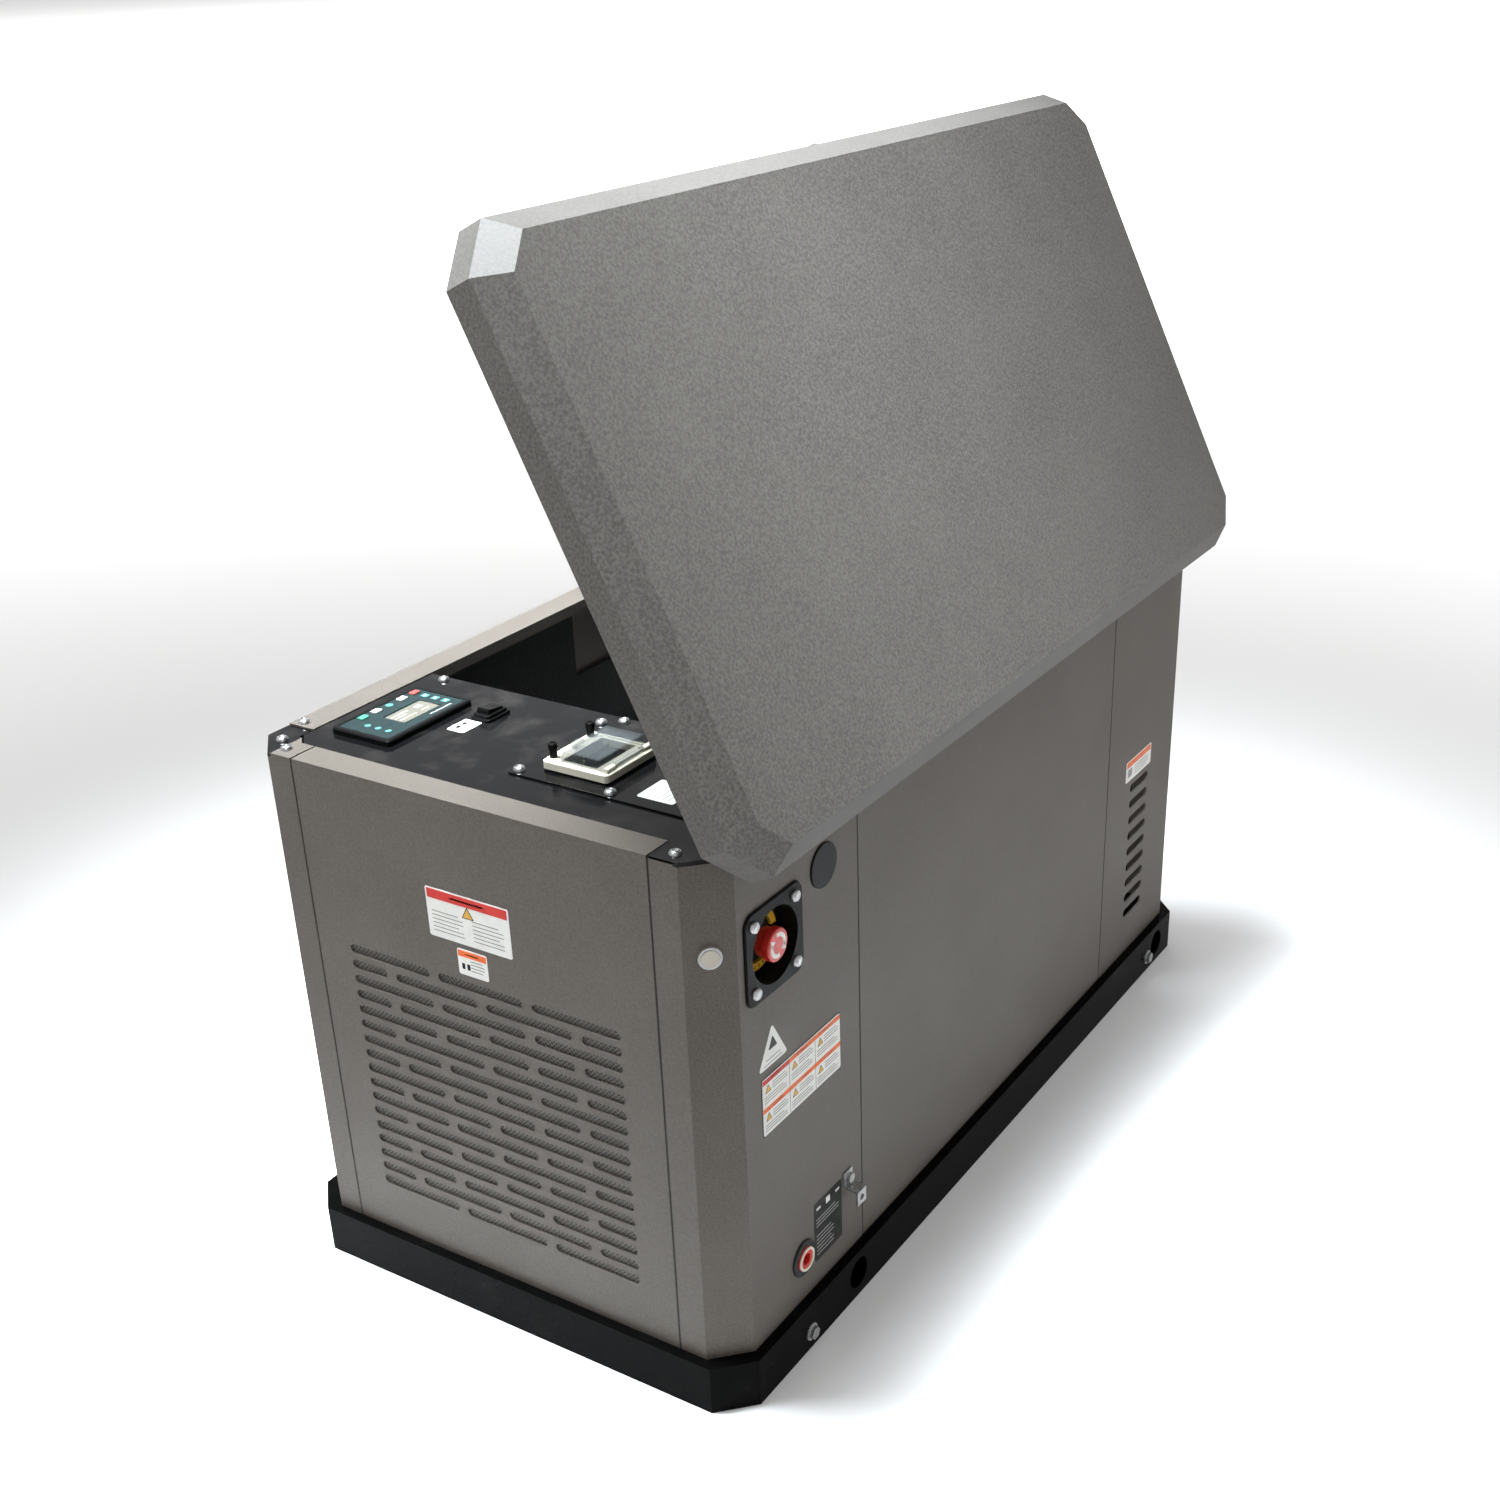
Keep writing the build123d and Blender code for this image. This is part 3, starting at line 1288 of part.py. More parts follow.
with BuildPart() as fan_shroud:
    with BuildSketch(Plane.YZ.offset(case_x1)):
        with Locations((0, crank_z)):
            Circle(shroud_r)
    extrude(amount=shroud_x1 - case_x1)
    fillet(faces().sort_by(Axis.X)[-1].edges(), radius=16)
    with BuildSketch(Plane.YZ.offset(case_x1 + shroud_wall)):
        with Locations((0, crank_z)):
            Circle(shroud_r - shroud_wall)
    extrude(amount=shroud_x1 - case_x1 - shroud_wall - 18, mode=Mode.SUBTRACT)
    with BuildSketch(Plane.YZ.offset(case_x1 - 1)):
        with Locations((0, crank_z)):
            Circle(96)
    extrude(amount=shroud_x1 - case_x1 + 2, mode=Mode.SUBTRACT)
finish(fan_shroud, "fan_shroud")

with BuildPart() as cooling_fan:
    with BuildSketch(Plane.YZ.offset(fan_x)):
        with Locations((0, crank_z)):
            Circle(fan_r)
    extrude(amount=4)
    with BuildSketch(Plane.YZ.offset(fan_x)):
        with Locations((0, crank_z)):
            Circle(34)
    extrude(amount=fan_depth)
    blade_length = fan_r - 50.0
    with BuildSketch(Plane.YZ.offset(fan_x)):
        with Locations((0, crank_z)):
            with PolarLocations(fan_r - blade_length / 2 - 2, fan_blades):
                Rectangle(blade_length, 5, rotation=28)
    extrude(amount=fan_depth)
    with BuildSketch(Plane.YZ.offset(fan_x)):
        with Locations((0, crank_z)):
            Circle(shaft_r + hinge_press)
    extrude(amount=fan_depth + 2, mode=Mode.SUBTRACT)
finish(cooling_fan, "cooling_fan")

stator_r = 122.0
stator_bore = 78.0
stator_x0 = -250.0
stator_x1 = -34.0
rotor_gap = 2.0
bell_depth = 34.0

with BuildPart() as crankshaft:
    with BuildSketch(Plane.YZ.offset(stator_x0 - bell_depth + 4)):
        with Locations((0, crank_z)):
            Circle(shaft_r)
    extrude(amount=fan_x + fan_depth + 14 - stator_x0 + bell_depth - 4)
    with BuildSketch(Plane.YZ.offset(stator_x0 + 8)):
        with Locations((0, crank_z)):
            Circle(stator_bore - rotor_gap)
            with PolarLocations(stator_bore - rotor_gap, 4):
                Rectangle(34, 22, mode=Mode.SUBTRACT)
    extrude(amount=stator_x1 - stator_x0 - 16)
    with BuildSketch(Plane.YZ.offset(fan_x + fan_depth)):
        with Locations((0, crank_z)):
            RegularPolygon(22, 6)
    extrude(amount=9)
finish(crankshaft, "crankshaft")

with BuildPart() as alternator_stator:
    with BuildSketch(Plane.YZ.offset(stator_x0)):
        with Locations((0, crank_z)):
            Circle(stator_r)
            Circle(stator_bore, mode=Mode.SUBTRACT)
    extrude(amount=stator_x1 - stator_x0)
    with BuildSketch(Plane.YZ.offset(stator_x1)):
        with Locations((0, crank_z)):
            Circle(stator_r)
            Circle(stator_r - 10, mode=Mode.SUBTRACT)
    extrude(amount=case_x0 - stator_x1)
    with BuildSketch(Plane.YZ.offset(stator_x0 - bell_depth)):
        with Locations((0, crank_z)):
            Circle(stator_r)
    extrude(amount=bell_depth)
    chamfer(faces().sort_by(Axis.X)[0].edges(), length=14)
    with BuildSketch(Plane.YZ.offset(stator_x0 - bell_depth + 8)):
        with Locations((0, crank_z)):
            Circle(stator_r - 20)
    extrude(amount=bell_depth - 8, mode=Mode.SUBTRACT)
    with BuildSketch(Plane.YZ.offset(stator_x0 - bell_depth)):
        with Locations((0, crank_z)):
            Circle(30)
    extrude(amount=20)
    with BuildSketch(Plane.YZ.offset(stator_x0 - bell_depth - 1)):
        with Locations((0, crank_z)):
            Circle(shaft_r + shaft_fit)
            with PolarLocations(62, 10):
                SlotOverall(44, 14)
    extrude(amount=bell_depth + 1, mode=Mode.SUBTRACT)
    foot_height = crank_z - rail_top - stator_bore - 20
    with BuildSketch(Plane.XY.offset(rail_top)):
        with Locations(((stator_x0 + stator_x1) / 2, 0)):
            Rectangle(130, 2 * rail_y + 30)
    extrude(amount=8)
    for side in (-1, 1):
        with Locations(((stator_x0 + stator_x1) / 2, side * 70, rail_top + foot_height / 2)):
            Box(90, 12, foot_height)
finish(alternator_stator, "alternator")

# ================================================================ intake, exhaust, battery
filter_x = 140.0
filter_size = (190.0, 150.0, 96.0)
carb_height = 52.0
with BuildPart() as air_filter_box:
    filter_foot = crank_z + flat_top + carb_height
    with BuildSketch(Plane.XY.offset(crank_z + flat_top)):
        with Locations((filter_x, 0)):
            Rectangle(70, 2 * corner)
    extrude(amount=carb_height + 1)
    with BuildSketch(Plane.XY.offset(filter_foot)):
        with Locations((filter_x, 0)):
            RectangleRounded(filter_size[0], filter_size[1], 14)
    extrude(amount=filter_size[2])
    fillet(faces().sort_by(Axis.Z)[-1].edges(), radius=8)
    with BuildSketch(Plane.XY.offset(filter_foot + 60)):
        with Locations((filter_x, 0)):
            RectangleRounded(filter_size[0] + 8, filter_size[1] + 8, 17)
    extrude(amount=6)
finish(air_filter_box, "air_filter_box")

muffler_x = 455.0
muffler_z = 320.0
muffler_size = (150.0, 440.0, 120.0)
bend_r = 45.0
with BuildPart() as muffler:
    with BuildSketch(Plane.XZ.offset(-muffler_size[1] / 2)):
        with Locations((muffler_x, muffler_z)):
            RectangleRounded(muffler_size[0], muffler_size[2], 50)
    extrude(amount=muffler_size[1])
    for x in (-150, 0, 150):
        with BuildSketch(Plane.XZ.offset(x - 4)):
            with Locations((muffler_x, muffler_z)):
                RectangleRounded(muffler_size[0] + 5, muffler_size[2] + 5, 52)
        extrude(amount=8)
    for side in (-1, 1):
        pipe_start = cylinder_x[side] + cylinder_half
        y = side * pipe_y
        with BuildLine():
            FilletPolyline((pipe_start, y, pipe_z), (muffler_x, y, pipe_z),
                           (muffler_x, y, muffler_z + muffler_size[2] / 2 - 10), radius=bend_r)
        with BuildSketch(Plane(origin=(pipe_start, y, pipe_z), z_dir=(1, 0, 0))):
            Circle(pipe_r)
        sweep()
    for y in (-120, 120):
        with Locations((muffler_x, y, (base_height + muffler_z - 40) / 2)):
            Box(60, 4, muffler_z - 40 - base_height)
finish(muffler, "muffler")

battery_size = (170.0, 200.0, 175.0)
battery_x = -475.0
battery_y = 150.0
with BuildPart() as battery:
    with BuildSketch(Plane.XY.offset(base_height)):
        with Locations((battery_x, battery_y)):
            RectangleRounded(battery_size[0], battery_size[1], 5)
    extrude(amount=battery_size[2] - 20)
    with BuildSketch(Plane.XY.offset(base_height + battery_size[2] - 20)):
        with Locations((battery_x, battery_y)):
            RectangleRounded(battery_size[0] - 6, battery_size[1] - 6, 5)
    extrude(amount=20)
    with BuildSketch(Plane.XY.offset(base_height + battery_size[2])):
        with Locations((battery_x - 55, battery_y - 70), (battery_x - 55, battery_y + 70)):
            Circle(8)
    extrude(amount=14)
finish(battery, "battery")
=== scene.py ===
"""Home standby generator: finishes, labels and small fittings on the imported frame."""
import math

import bpy
from mathutils import Matrix, Vector


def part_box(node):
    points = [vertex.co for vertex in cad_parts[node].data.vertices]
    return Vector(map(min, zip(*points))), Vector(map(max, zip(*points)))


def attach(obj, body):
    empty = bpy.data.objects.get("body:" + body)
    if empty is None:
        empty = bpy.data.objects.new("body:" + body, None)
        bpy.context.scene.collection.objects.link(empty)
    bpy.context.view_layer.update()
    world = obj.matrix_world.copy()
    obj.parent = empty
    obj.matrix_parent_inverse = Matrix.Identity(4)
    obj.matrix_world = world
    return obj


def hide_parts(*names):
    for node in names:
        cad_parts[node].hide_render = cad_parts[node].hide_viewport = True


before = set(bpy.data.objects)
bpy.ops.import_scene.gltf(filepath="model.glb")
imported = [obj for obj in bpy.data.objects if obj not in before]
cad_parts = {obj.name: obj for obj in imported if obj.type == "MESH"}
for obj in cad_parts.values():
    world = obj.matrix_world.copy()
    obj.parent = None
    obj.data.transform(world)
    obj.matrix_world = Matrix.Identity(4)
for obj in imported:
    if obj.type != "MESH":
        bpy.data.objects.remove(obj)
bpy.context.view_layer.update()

bl_info = {
    "name": "Home standby generator",
    "version": (1, 0, 0),
    "blender": (4, 5, 0),
    "location": "3D View > Sidebar > Generator",
    "description": "Paint, labels and small fittings of a home standby generator",
    "category": "Object",
}

MM = 0.001
UP = (0, 0, 1)
NOISE_LOW, NOISE_HIGH = 0.3, 0.7     # noise values mostly lie between these
INK = 0.15 * MM                      # thickness of a printed patch on a film
DISC_SIDES, RING_SIDES = 40, 64      # edges of a small disc and of a ring


# ------------------------------------------------------------------ sizes taken from the frame
def corner(node, which):
    """Lowest (0) or highest (1) corner of a CAD node, in metres."""
    return Vector(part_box(node)[which])


def middle(node):
    """Centre of a CAD node's box, in metres."""
    return (corner(node, 0) + corner(node, 1)) / 2


FRONT_Y = corner("front_door", 0).y
INTAKE_X = corner("intake_end_panel", 0).x
PANEL_TOP = corner("control_panel", 1).z
PLATE_TOP = corner("breaker_plate", 1).z
FASCIA_TOP = corner("controller_fascia", 1).z
STOP = middle("estop_head")
STOP_FACE = corner("estop_head", 0).y


# ------------------------------------------------------------------ settings shown to a user
def hue(name, description, value):
    """Setting that holds a colour."""
    return bpy.props.StringProperty(name=name, description=description, default=value)


def length(name, description, value):
    """Setting that holds a length, its value in metres."""
    return bpy.props.FloatProperty(name=name, description=description, default=value,
                                   unit="LENGTH", min=0.0)


class GeneratorColours(bpy.types.PropertyGroup):
    """Colours of the finishes, as sRGB hex values."""

    cabinet: hue("Cabinet", "Warm grey powder coat of the cabinet", "#4A443E")
    cabinet_light: hue("Cabinet grain", "Lighter crests of the powder coat's grain", "#59524B")
    lid: hue("Lid", "Grey powder coat of the lid", "#484542")
    lid_light: hue("Lid grain", "Lighter crests of the lid's grain", "#5F5C58")
    enamel: hue("Enamel", "Gloss black of the control panel and gussets", "#0B0B0C")
    tray: hue("Tray enamel", "Black of the base tray", "#070707")
    fascia: hue("Fascia", "Teal overlay of the controller", "#1C2A2B")
    cream: hue("Cream plastic", "Breaker frame and the ring on the fuel cap", "#C9C5B4")
    stop_red: hue("Stop red", "Stop button's head and the fuel cap", "#B3261F")
    legend: hue("Legend", "Ring round the stop button", "#C99A2A")
    label_orange: hue("Label orange", "Header bars of the labels", "#DE6A38")
    label_red: hue("Label red", "Header bars of the labels", "#C23A33")


class GeneratorSizes(bpy.types.PropertyGroup):
    """Sizes of the fittings modelled here."""

    label_film: length("Label film", "How far a label stands off the paint", 0.35 * MM)
    label_corner: length("Label corner", "Corner radius of a label", 2.5 * MM)
    ring_inner: length("Ring inner radius", "Inner radius of the stop legend ring", 25.5 * MM)
    ring_outer: length("Ring outer radius", "Outer radius of the stop legend ring", 33.5 * MM)
    screw_radius: length("Screw head radius", "Radius of the domed screw heads", 6.7 * MM)
    screw_height: length("Screw head height", "Height of the domed screw heads", 4.4 * MM)
    screw_seat: length("Screw seat", "From a screw's seat to the flat of its head", 3.6 * MM)
    mesh_pitch: length("Mesh pitch", "Pitch of the mesh behind the intake grille", 4.0 * MM)
    lens_mm: bpy.props.FloatProperty(name="Lens", description="Focal length of the view",
                                     default=45.53, unit="CAMERA")


def colours():
    """Colour settings of the scene."""
    return bpy.context.scene.generator_colours


def sizes():
    """Size settings of the scene."""
    return bpy.context.scene.generator_sizes


# ------------------------------------------------------------------ materials
def linear(hex_value):
    """sRGB hex to a linear RGBA tuple."""
    channels = [int(hex_value[i:i + 2], 16) / 255 for i in (1, 3, 5)]
    curve = [c / 12.92 if c <= 0.04045 else ((c + 0.055) / 1.055) ** 2.4 for c in channels]
    return tuple(curve) + (1.0,)


def add_node(tree, kind, links=None, **settings):
    """Add a node, set its inputs and properties, and link its inputs."""
    node = tree.nodes.new(kind)
    for key, value in settings.items():
        if key.startswith("in_"):
            node.inputs[key[3:].replace("_", " ")].default_value = value
        else:
            setattr(node, key, value)
    for name, source in (links or {}).items():
        tree.links.new(source, node.inputs[name])
    return node


def new_material(name):
    """Empty material with its tree, shader and Object coordinates."""
    material = bpy.data.materials.new(name)
    material.use_nodes = True
    tree = material.node_tree
    tree.nodes.clear()
    shader = add_node(tree, "ShaderNodeBsdfPrincipled")
    output = add_node(tree, "ShaderNodeOutputMaterial")
    tree.links.new(shader.outputs[0], output.inputs["Surface"])
    place = add_node(tree, "ShaderNodeTexCoord").outputs["Object"]
    return material, tree, shader, place


def grain(tree, place, millimetres, detail=2.0, roughness=0.5):
    """Noise whose blobs are about this many millimetres across."""
    noise = add_node(tree, "ShaderNodeTexNoise", {"Vector": place}, in_Detail=detail,
                     in_Roughness=roughness, in_Scale=1.0 / (2.0 * millimetres * MM))
    return noise.outputs["Fac"]


def spread(tree, value, to_low, to_high, low=NOISE_LOW, high=NOISE_HIGH):
    """Stretch a value from its own range to another."""
    stretch = add_node(tree, "ShaderNodeMapRange", {"Value": value}, in_From_Min=low,
                       in_From_Max=high, in_To_Min=to_low, in_To_Max=to_high)
    return stretch.outputs["Result"]


def blend_colours(tree, amount, first, second):
    """Mix two colours, each a socket or a linear tuple, by a value."""
    mix = add_node(tree, "ShaderNodeMix", {"Factor": amount}, data_type="RGBA")
    for index, colour in ((6, first), (7, second)):     # the node's colour inputs A and B
        if isinstance(colour, bpy.types.NodeSocket):
            tree.links.new(colour, mix.inputs[index])
        else:
            mix.inputs[index].default_value = colour
    return mix.outputs[2]


def relief(tree, shader, height, strength, millimetres):
    """Bump from a height value."""
    bump = add_node(tree, "ShaderNodeBump", {"Height": height}, in_Strength=strength,
                    in_Distance=millimetres * MM)
    tree.links.new(bump.outputs["Normal"], shader.inputs["Normal"])


def powder_coat(name, base, crest, wrinkle):
    """Textured polyester powder coat, baked: fine orange-peel grain with brighter crests."""
    material, tree, shader, place = new_material(name)
    fine = grain(tree, place, wrinkle, 3.0, 0.6)
    broad = grain(tree, place, 60.0, 2.0)
    speck = spread(tree, fine, 0.0, 1.0, 0.38, 0.62)
    tone = blend_colours(tree, speck, linear(base), linear(crest))
    dusty = blend_colours(tree, spread(tree, broad, 0.0, 0.05, 0.35, 0.7), tone, linear("#8C8984"))
    tree.links.new(dusty, shader.inputs["Base Color"])
    tree.links.new(spread(tree, fine, 0.5, 0.68), shader.inputs["Roughness"])
    relief(tree, shader, fine, 0.55, wrinkle * 0.35)
    shader.inputs["Specular IOR Level"].default_value = 0.35
    return material


def gloss_enamel(name, base, gloss, haze):
    """Baked gloss enamel on sheet: mirror black with faint ripple, dust and handling haze."""
    material, tree, shader, place = new_material(name)
    dust = grain(tree, place, 1.2, 2.0, 0.7)
    ripple = grain(tree, place, 22.0, 1.0)
    smear = grain(tree, place, 28.0, 5.0, 0.62)
    film = blend_colours(tree, spread(tree, dust, 0.0, 0.06, 0.62, 0.75),
                         linear(base), linear("#6E6A63"))
    hazy = blend_colours(tree, spread(tree, smear, 0.0, haze, 0.5, 0.68), film, linear("#302E2C"))
    tree.links.new(hazy, shader.inputs["Base Color"])
    tree.links.new(spread(tree, smear, 0.05, 0.3, 0.45, 0.7), shader.inputs["Roughness"])
    shader.inputs["Specular IOR Level"].default_value = gloss
    relief(tree, shader, ripple, 0.12, 0.6)
    return material


def zinc_plate(name):
    """Bright zinc plate on pressed steel: cool grey with cloudy patches and light scuffs."""
    material, tree, shader, place = new_material(name)
    cloud = grain(tree, place, 6.0, 4.0, 0.6)
    scuff = grain(tree, place, 0.8, 2.0, 0.7)
    tone = blend_colours(tree, spread(tree, cloud, 0.0, 1.0), linear("#A7A9AB"), linear("#CBCCCB"))
    tree.links.new(tone, shader.inputs["Base Color"])
    shader.inputs["Metallic"].default_value = 1.0
    tree.links.new(spread(tree, scuff, 0.22, 0.42), shader.inputs["Roughness"])
    relief(tree, shader, scuff, 0.15, 0.1)
    return material


def cast_aluminium(name):
    """Sand-cast and blasted aluminium: dull, slightly pitted, with broad darker and lighter
    stains.
    """
    material, tree, shader, place = new_material(name)
    pits = grain(tree, place, 1.6, 4.0, 0.65)
    stain = grain(tree, place, 35.0, 3.0)
    tone = blend_colours(tree, spread(tree, stain, 0.0, 1.0), linear("#8F9193"), linear("#B0B1B0"))
    tree.links.new(tone, shader.inputs["Base Color"])
    shader.inputs["Metallic"].default_value = 0.9
    tree.links.new(spread(tree, pits, 0.42, 0.62), shader.inputs["Roughness"])
    relief(tree, shader, pits, 0.4, 0.5)
    return material


def machined_steel(name):
    """Turned and ground steel: bright, with fine rings from the tool."""
    material, tree, shader, place = new_material(name)
    rings = add_node(tree, "ShaderNodeTexWave", {"Vector": place}, in_Scale=140.0,
                     in_Distortion=1.5, bands_direction="X").outputs["Fac"]
    tone = blend_colours(tree, rings, linear("#9C9DA0"), linear("#C4C5C6"))
    tree.links.new(tone, shader.inputs["Base Color"])
    shader.inputs["Metallic"].default_value = 1.0
    tree.links.new(spread(tree, rings, 0.2, 0.34, 0.0, 1.0), shader.inputs["Roughness"])
    relief(tree, shader, rings, 0.05, 0.1)
    return material


def aluminised_steel(name):
    """Aluminised steel of an exhaust: satin metal, straw-coloured where it has run hot."""
    material, tree, shader, place = new_material(name)
    heat = spread(tree, grain(tree, place, 70.0, 3.0), 0.0, 0.55, 0.35, 0.7)
    tone = blend_colours(tree, heat, linear("#A3A29F"), linear("#8A7354"))
    tree.links.new(tone, shader.inputs["Base Color"])
    shader.inputs["Metallic"].default_value = 1.0
    satin = spread(tree, grain(tree, place, 2.0, 3.0), 0.34, 0.5)
    tree.links.new(satin, shader.inputs["Roughness"])
    relief(tree, shader, grain(tree, place, 2.0), 0.12, 0.2)
    return material


def moulded_plastic(name, base, gloss, texture_mm=0.9, shine=0.5):
    """Injection-moulded ABS or nylon: even colour, spark-eroded grain, faint mould flow."""
    material, tree, shader, place = new_material(name)
    fine = grain(tree, place, texture_mm, 2.0, 0.6)
    flow = grain(tree, place, 25.0, 2.0)
    pale = tuple(min(1.0, c * 1.25 + 0.001) for c in linear(base)[:3]) + (1.0,)
    tone = blend_colours(tree, spread(tree, flow, 0.0, 0.5), linear(base), pale)
    tree.links.new(tone, shader.inputs["Base Color"])
    tree.links.new(spread(tree, fine, gloss - 0.06, gloss + 0.1), shader.inputs["Roughness"])
    relief(tree, shader, fine, 0.2, 0.12)
    shader.inputs["Specular IOR Level"].default_value = shine
    return material


def moulded_rubber(name):
    """Moulded EPDM rubber: charcoal, matt, with a dusty bloom."""
    material, tree, shader, place = new_material(name)
    bloom = grain(tree, place, 9.0, 4.0, 0.6)
    tone = blend_colours(tree, spread(tree, bloom, 0.0, 0.6, 0.4, 0.7),
                         linear("#080808"), linear("#1C1B1A"))
    tree.links.new(tone, shader.inputs["Base Color"])
    tree.links.new(spread(tree, bloom, 0.62, 0.82), shader.inputs["Roughness"])
    relief(tree, shader, grain(tree, place, 0.9), 0.25, 0.15)
    return material


def acoustic_foam(name):
    """Open-cell polyurethane foam faced with black fleece: soft, very matt, pin-holed."""
    material, tree, shader, place = new_material(name)
    voronoi = add_node(tree, "ShaderNodeTexVoronoi", {"Vector": place}, in_Scale=260.0)
    cells = voronoi.outputs["Distance"]
    tone = blend_colours(tree, spread(tree, cells, 0.0, 1.0, 0.0, 0.6),
                         linear("#070707"), linear("#161515"))
    tree.links.new(tone, shader.inputs["Base Color"])
    shader.inputs["Roughness"].default_value = 0.95
    shader.inputs["Sheen Weight"].default_value = 0.08
    relief(tree, shader, cells, 0.6, 1.2)
    return material


def woven_screen(name):
    """Black-painted expanded mesh over foam: diamond wires with near-black holes."""
    material, tree, shader, place = new_material(name)
    turned = add_node(tree, "ShaderNodeMapping", {"Vector": place},
                      in_Rotation=(math.radians(45), 0.0, 0.0)).outputs["Vector"]
    once_a_metre = 0.314        # scale that makes a wave texture repeat once a metre
    wires = []
    for direction in ("Y", "Z"):
        band = add_node(tree, "ShaderNodeTexWave", {"Vector": turned}, bands_direction=direction,
                        wave_profile="SIN", in_Scale=once_a_metre / sizes().mesh_pitch,
                        in_Distortion=0.0)
        wires.append(band.outputs["Fac"])
    highest = add_node(tree, "ShaderNodeMath", {0: wires[0], 1: wires[1]}, operation="MAXIMUM")
    height = highest.outputs[0]
    tone = blend_colours(tree, spread(tree, height, 0.0, 1.0, 0.55, 0.9),
                         linear("#0D0C0B"), linear("#57524A"))
    tree.links.new(tone, shader.inputs["Base Color"])
    shader.inputs["Roughness"].default_value = 0.6
    relief(tree, shader, height, 0.8, 1.0)
    return material


def smoked_acrylic(name):
    """Moulded acrylic with a smoke tint: glossy, see-through, with a faint moulding wave."""
    material, tree, shader, place = new_material(name)
    wave = grain(tree, place, 12.0, 1.0)
    tone = blend_colours(tree, spread(tree, wave, 0.0, 1.0), linear("#4A5052"), linear("#5A6062"))
    tree.links.new(tone, shader.inputs["Base Color"])
    shader.inputs["Alpha"].default_value = 0.32
    shader.inputs["IOR"].default_value = 1.49
    tree.links.new(spread(tree, wave, 0.03, 0.09), shader.inputs["Roughness"])
    relief(tree, shader, wave, 0.06, 0.4)
    return material


def printed_film(name, base, gloss=0.35):
    """Printed polyester label film: even ink, slight sheen and a trace of handling."""
    material, tree, shader, place = new_material(name)
    wear = grain(tree, place, 7.0, 3.0, 0.6)
    dull = tuple(c * 0.82 for c in linear(base)[:3]) + (1.0,)
    tone = blend_colours(tree, spread(tree, wear, 0.0, 0.5, 0.4, 0.75), linear(base), dull)
    tree.links.new(tone, shader.inputs["Base Color"])
    tree.links.new(spread(tree, wear, gloss - 0.05, gloss + 0.12), shader.inputs["Roughness"])
    shader.inputs["Specular IOR Level"].default_value = 0.15
    relief(tree, shader, wear, 0.05, 0.1)
    return material


MATERIALS = {}


def make_materials():
    """Every finish of the generator, made once."""
    tint = colours()
    MATERIALS.update({
        "cabinet": powder_coat("powder_coat_cabinet", tint.cabinet, tint.cabinet_light, 1.1),
        "lid": powder_coat("powder_coat_lid", tint.lid, tint.lid_light, 1.6),
        "enamel": gloss_enamel("gloss_enamel_black", tint.enamel, 0.14, 0.4),
        "tray_enamel": gloss_enamel("tray_enamel_black", tint.tray, 0.02, 0.06),
        "satin": moulded_plastic("satin_paint_black", "#080808", 0.4, 1.5, 0.08),
        "zinc": zinc_plate("zinc_plate"),
        "cast": cast_aluminium("cast_aluminium"),
        "steel": machined_steel("machined_steel"),
        "exhaust": aluminised_steel("aluminised_steel"),
        "abs_black": moulded_plastic("moulded_abs_black", "#0A0A0A", 0.36, 0.9, 0.1),
        "abs_cream": moulded_plastic("moulded_abs_cream", tint.cream, 0.38),
        "abs_white": moulded_plastic("moulded_abs_white", "#A5A6A2", 0.4),
        "abs_mint": moulded_plastic("moulded_abs_mint", "#3A8068", 0.4),
        "abs_red": moulded_plastic("moulded_abs_red", "#8E3B36", 0.4),
        "stop_red": moulded_plastic("moulded_stop_red", tint.stop_red, 0.28),
        "legend": printed_film("printed_film_legend", tint.legend),
        "fascia": printed_film("printed_film_fascia", tint.fascia, 0.4),
        "rubber": moulded_rubber("moulded_rubber"),
        "foam": acoustic_foam("acoustic_foam"),
        "screen": woven_screen("woven_screen"),
        "acrylic": smoked_acrylic("smoked_acrylic"),
        "film_white": printed_film("printed_film_white", "#DCDBD6"),
        "film_grey": printed_film("printed_film_grey", "#8E8D89"),
        "film_black": printed_film("printed_film_black", "#090909"),
        "film_orange": printed_film("printed_film_orange", tint.label_orange),
        "film_red": printed_film("printed_film_red", tint.label_red),
        "film_teal": printed_film("printed_film_teal", "#4A7A76"),
        "film_amber": printed_film("printed_film_amber", "#D0A24A"),
        "abs_grey": moulded_plastic("moulded_abs_grey", "#B5AFA2", 0.4),
        "display": printed_film("printed_display", "#66635A", 0.15),
    })


# finish of each CAD node
NODE_FINISH = {
    "cabinet": "front_left_panel front_right_panel rear_posts rear_panel front_door "
               "front_top_rail intake_end_panel exhaust_end_panel hinge_base_leaves "
               "hinge_lid_leaves",
    "lid": "lid_shell",
    "enamel": "corner_gussets control_panel breaker_plate",
    "tray_enamel": "base_tray",
    "satin": "strut_tubes strut_base_mounts strut_lid_mounts engine_rails bulkheads estop_plate",
    "abs_black": "controller_housing rocker_housing rocker_paddle breaker_base breaker_module "
                 "breaker_toggle estop_cup blanking_plug thumb_knob_left thumb_knob_right "
                 "air_filter_box battery fan_shroud cooling_fan",
    "fascia": "controller_fascia",
    "abs_mint": "key_start",
    "abs_white": "key_auto key_manual",
    "abs_red": "key_stop",
    "abs_cream": "breaker_frame",
    "abs_grey": "status_lamp",
    "acrylic": "breaker_window",
    "stop_red": "estop_head fuel_cap",
    "zinc": "ground_bracket fasteners lid_latch estop_plunger",
    "steel": "strut_rods crankshaft",
    "rubber": "fuel_inlet isolators",
    "cast": "crankcase cylinders valve_covers alternator",
    "exhaust": "muffler",
    "foam": "lid_liner",
}


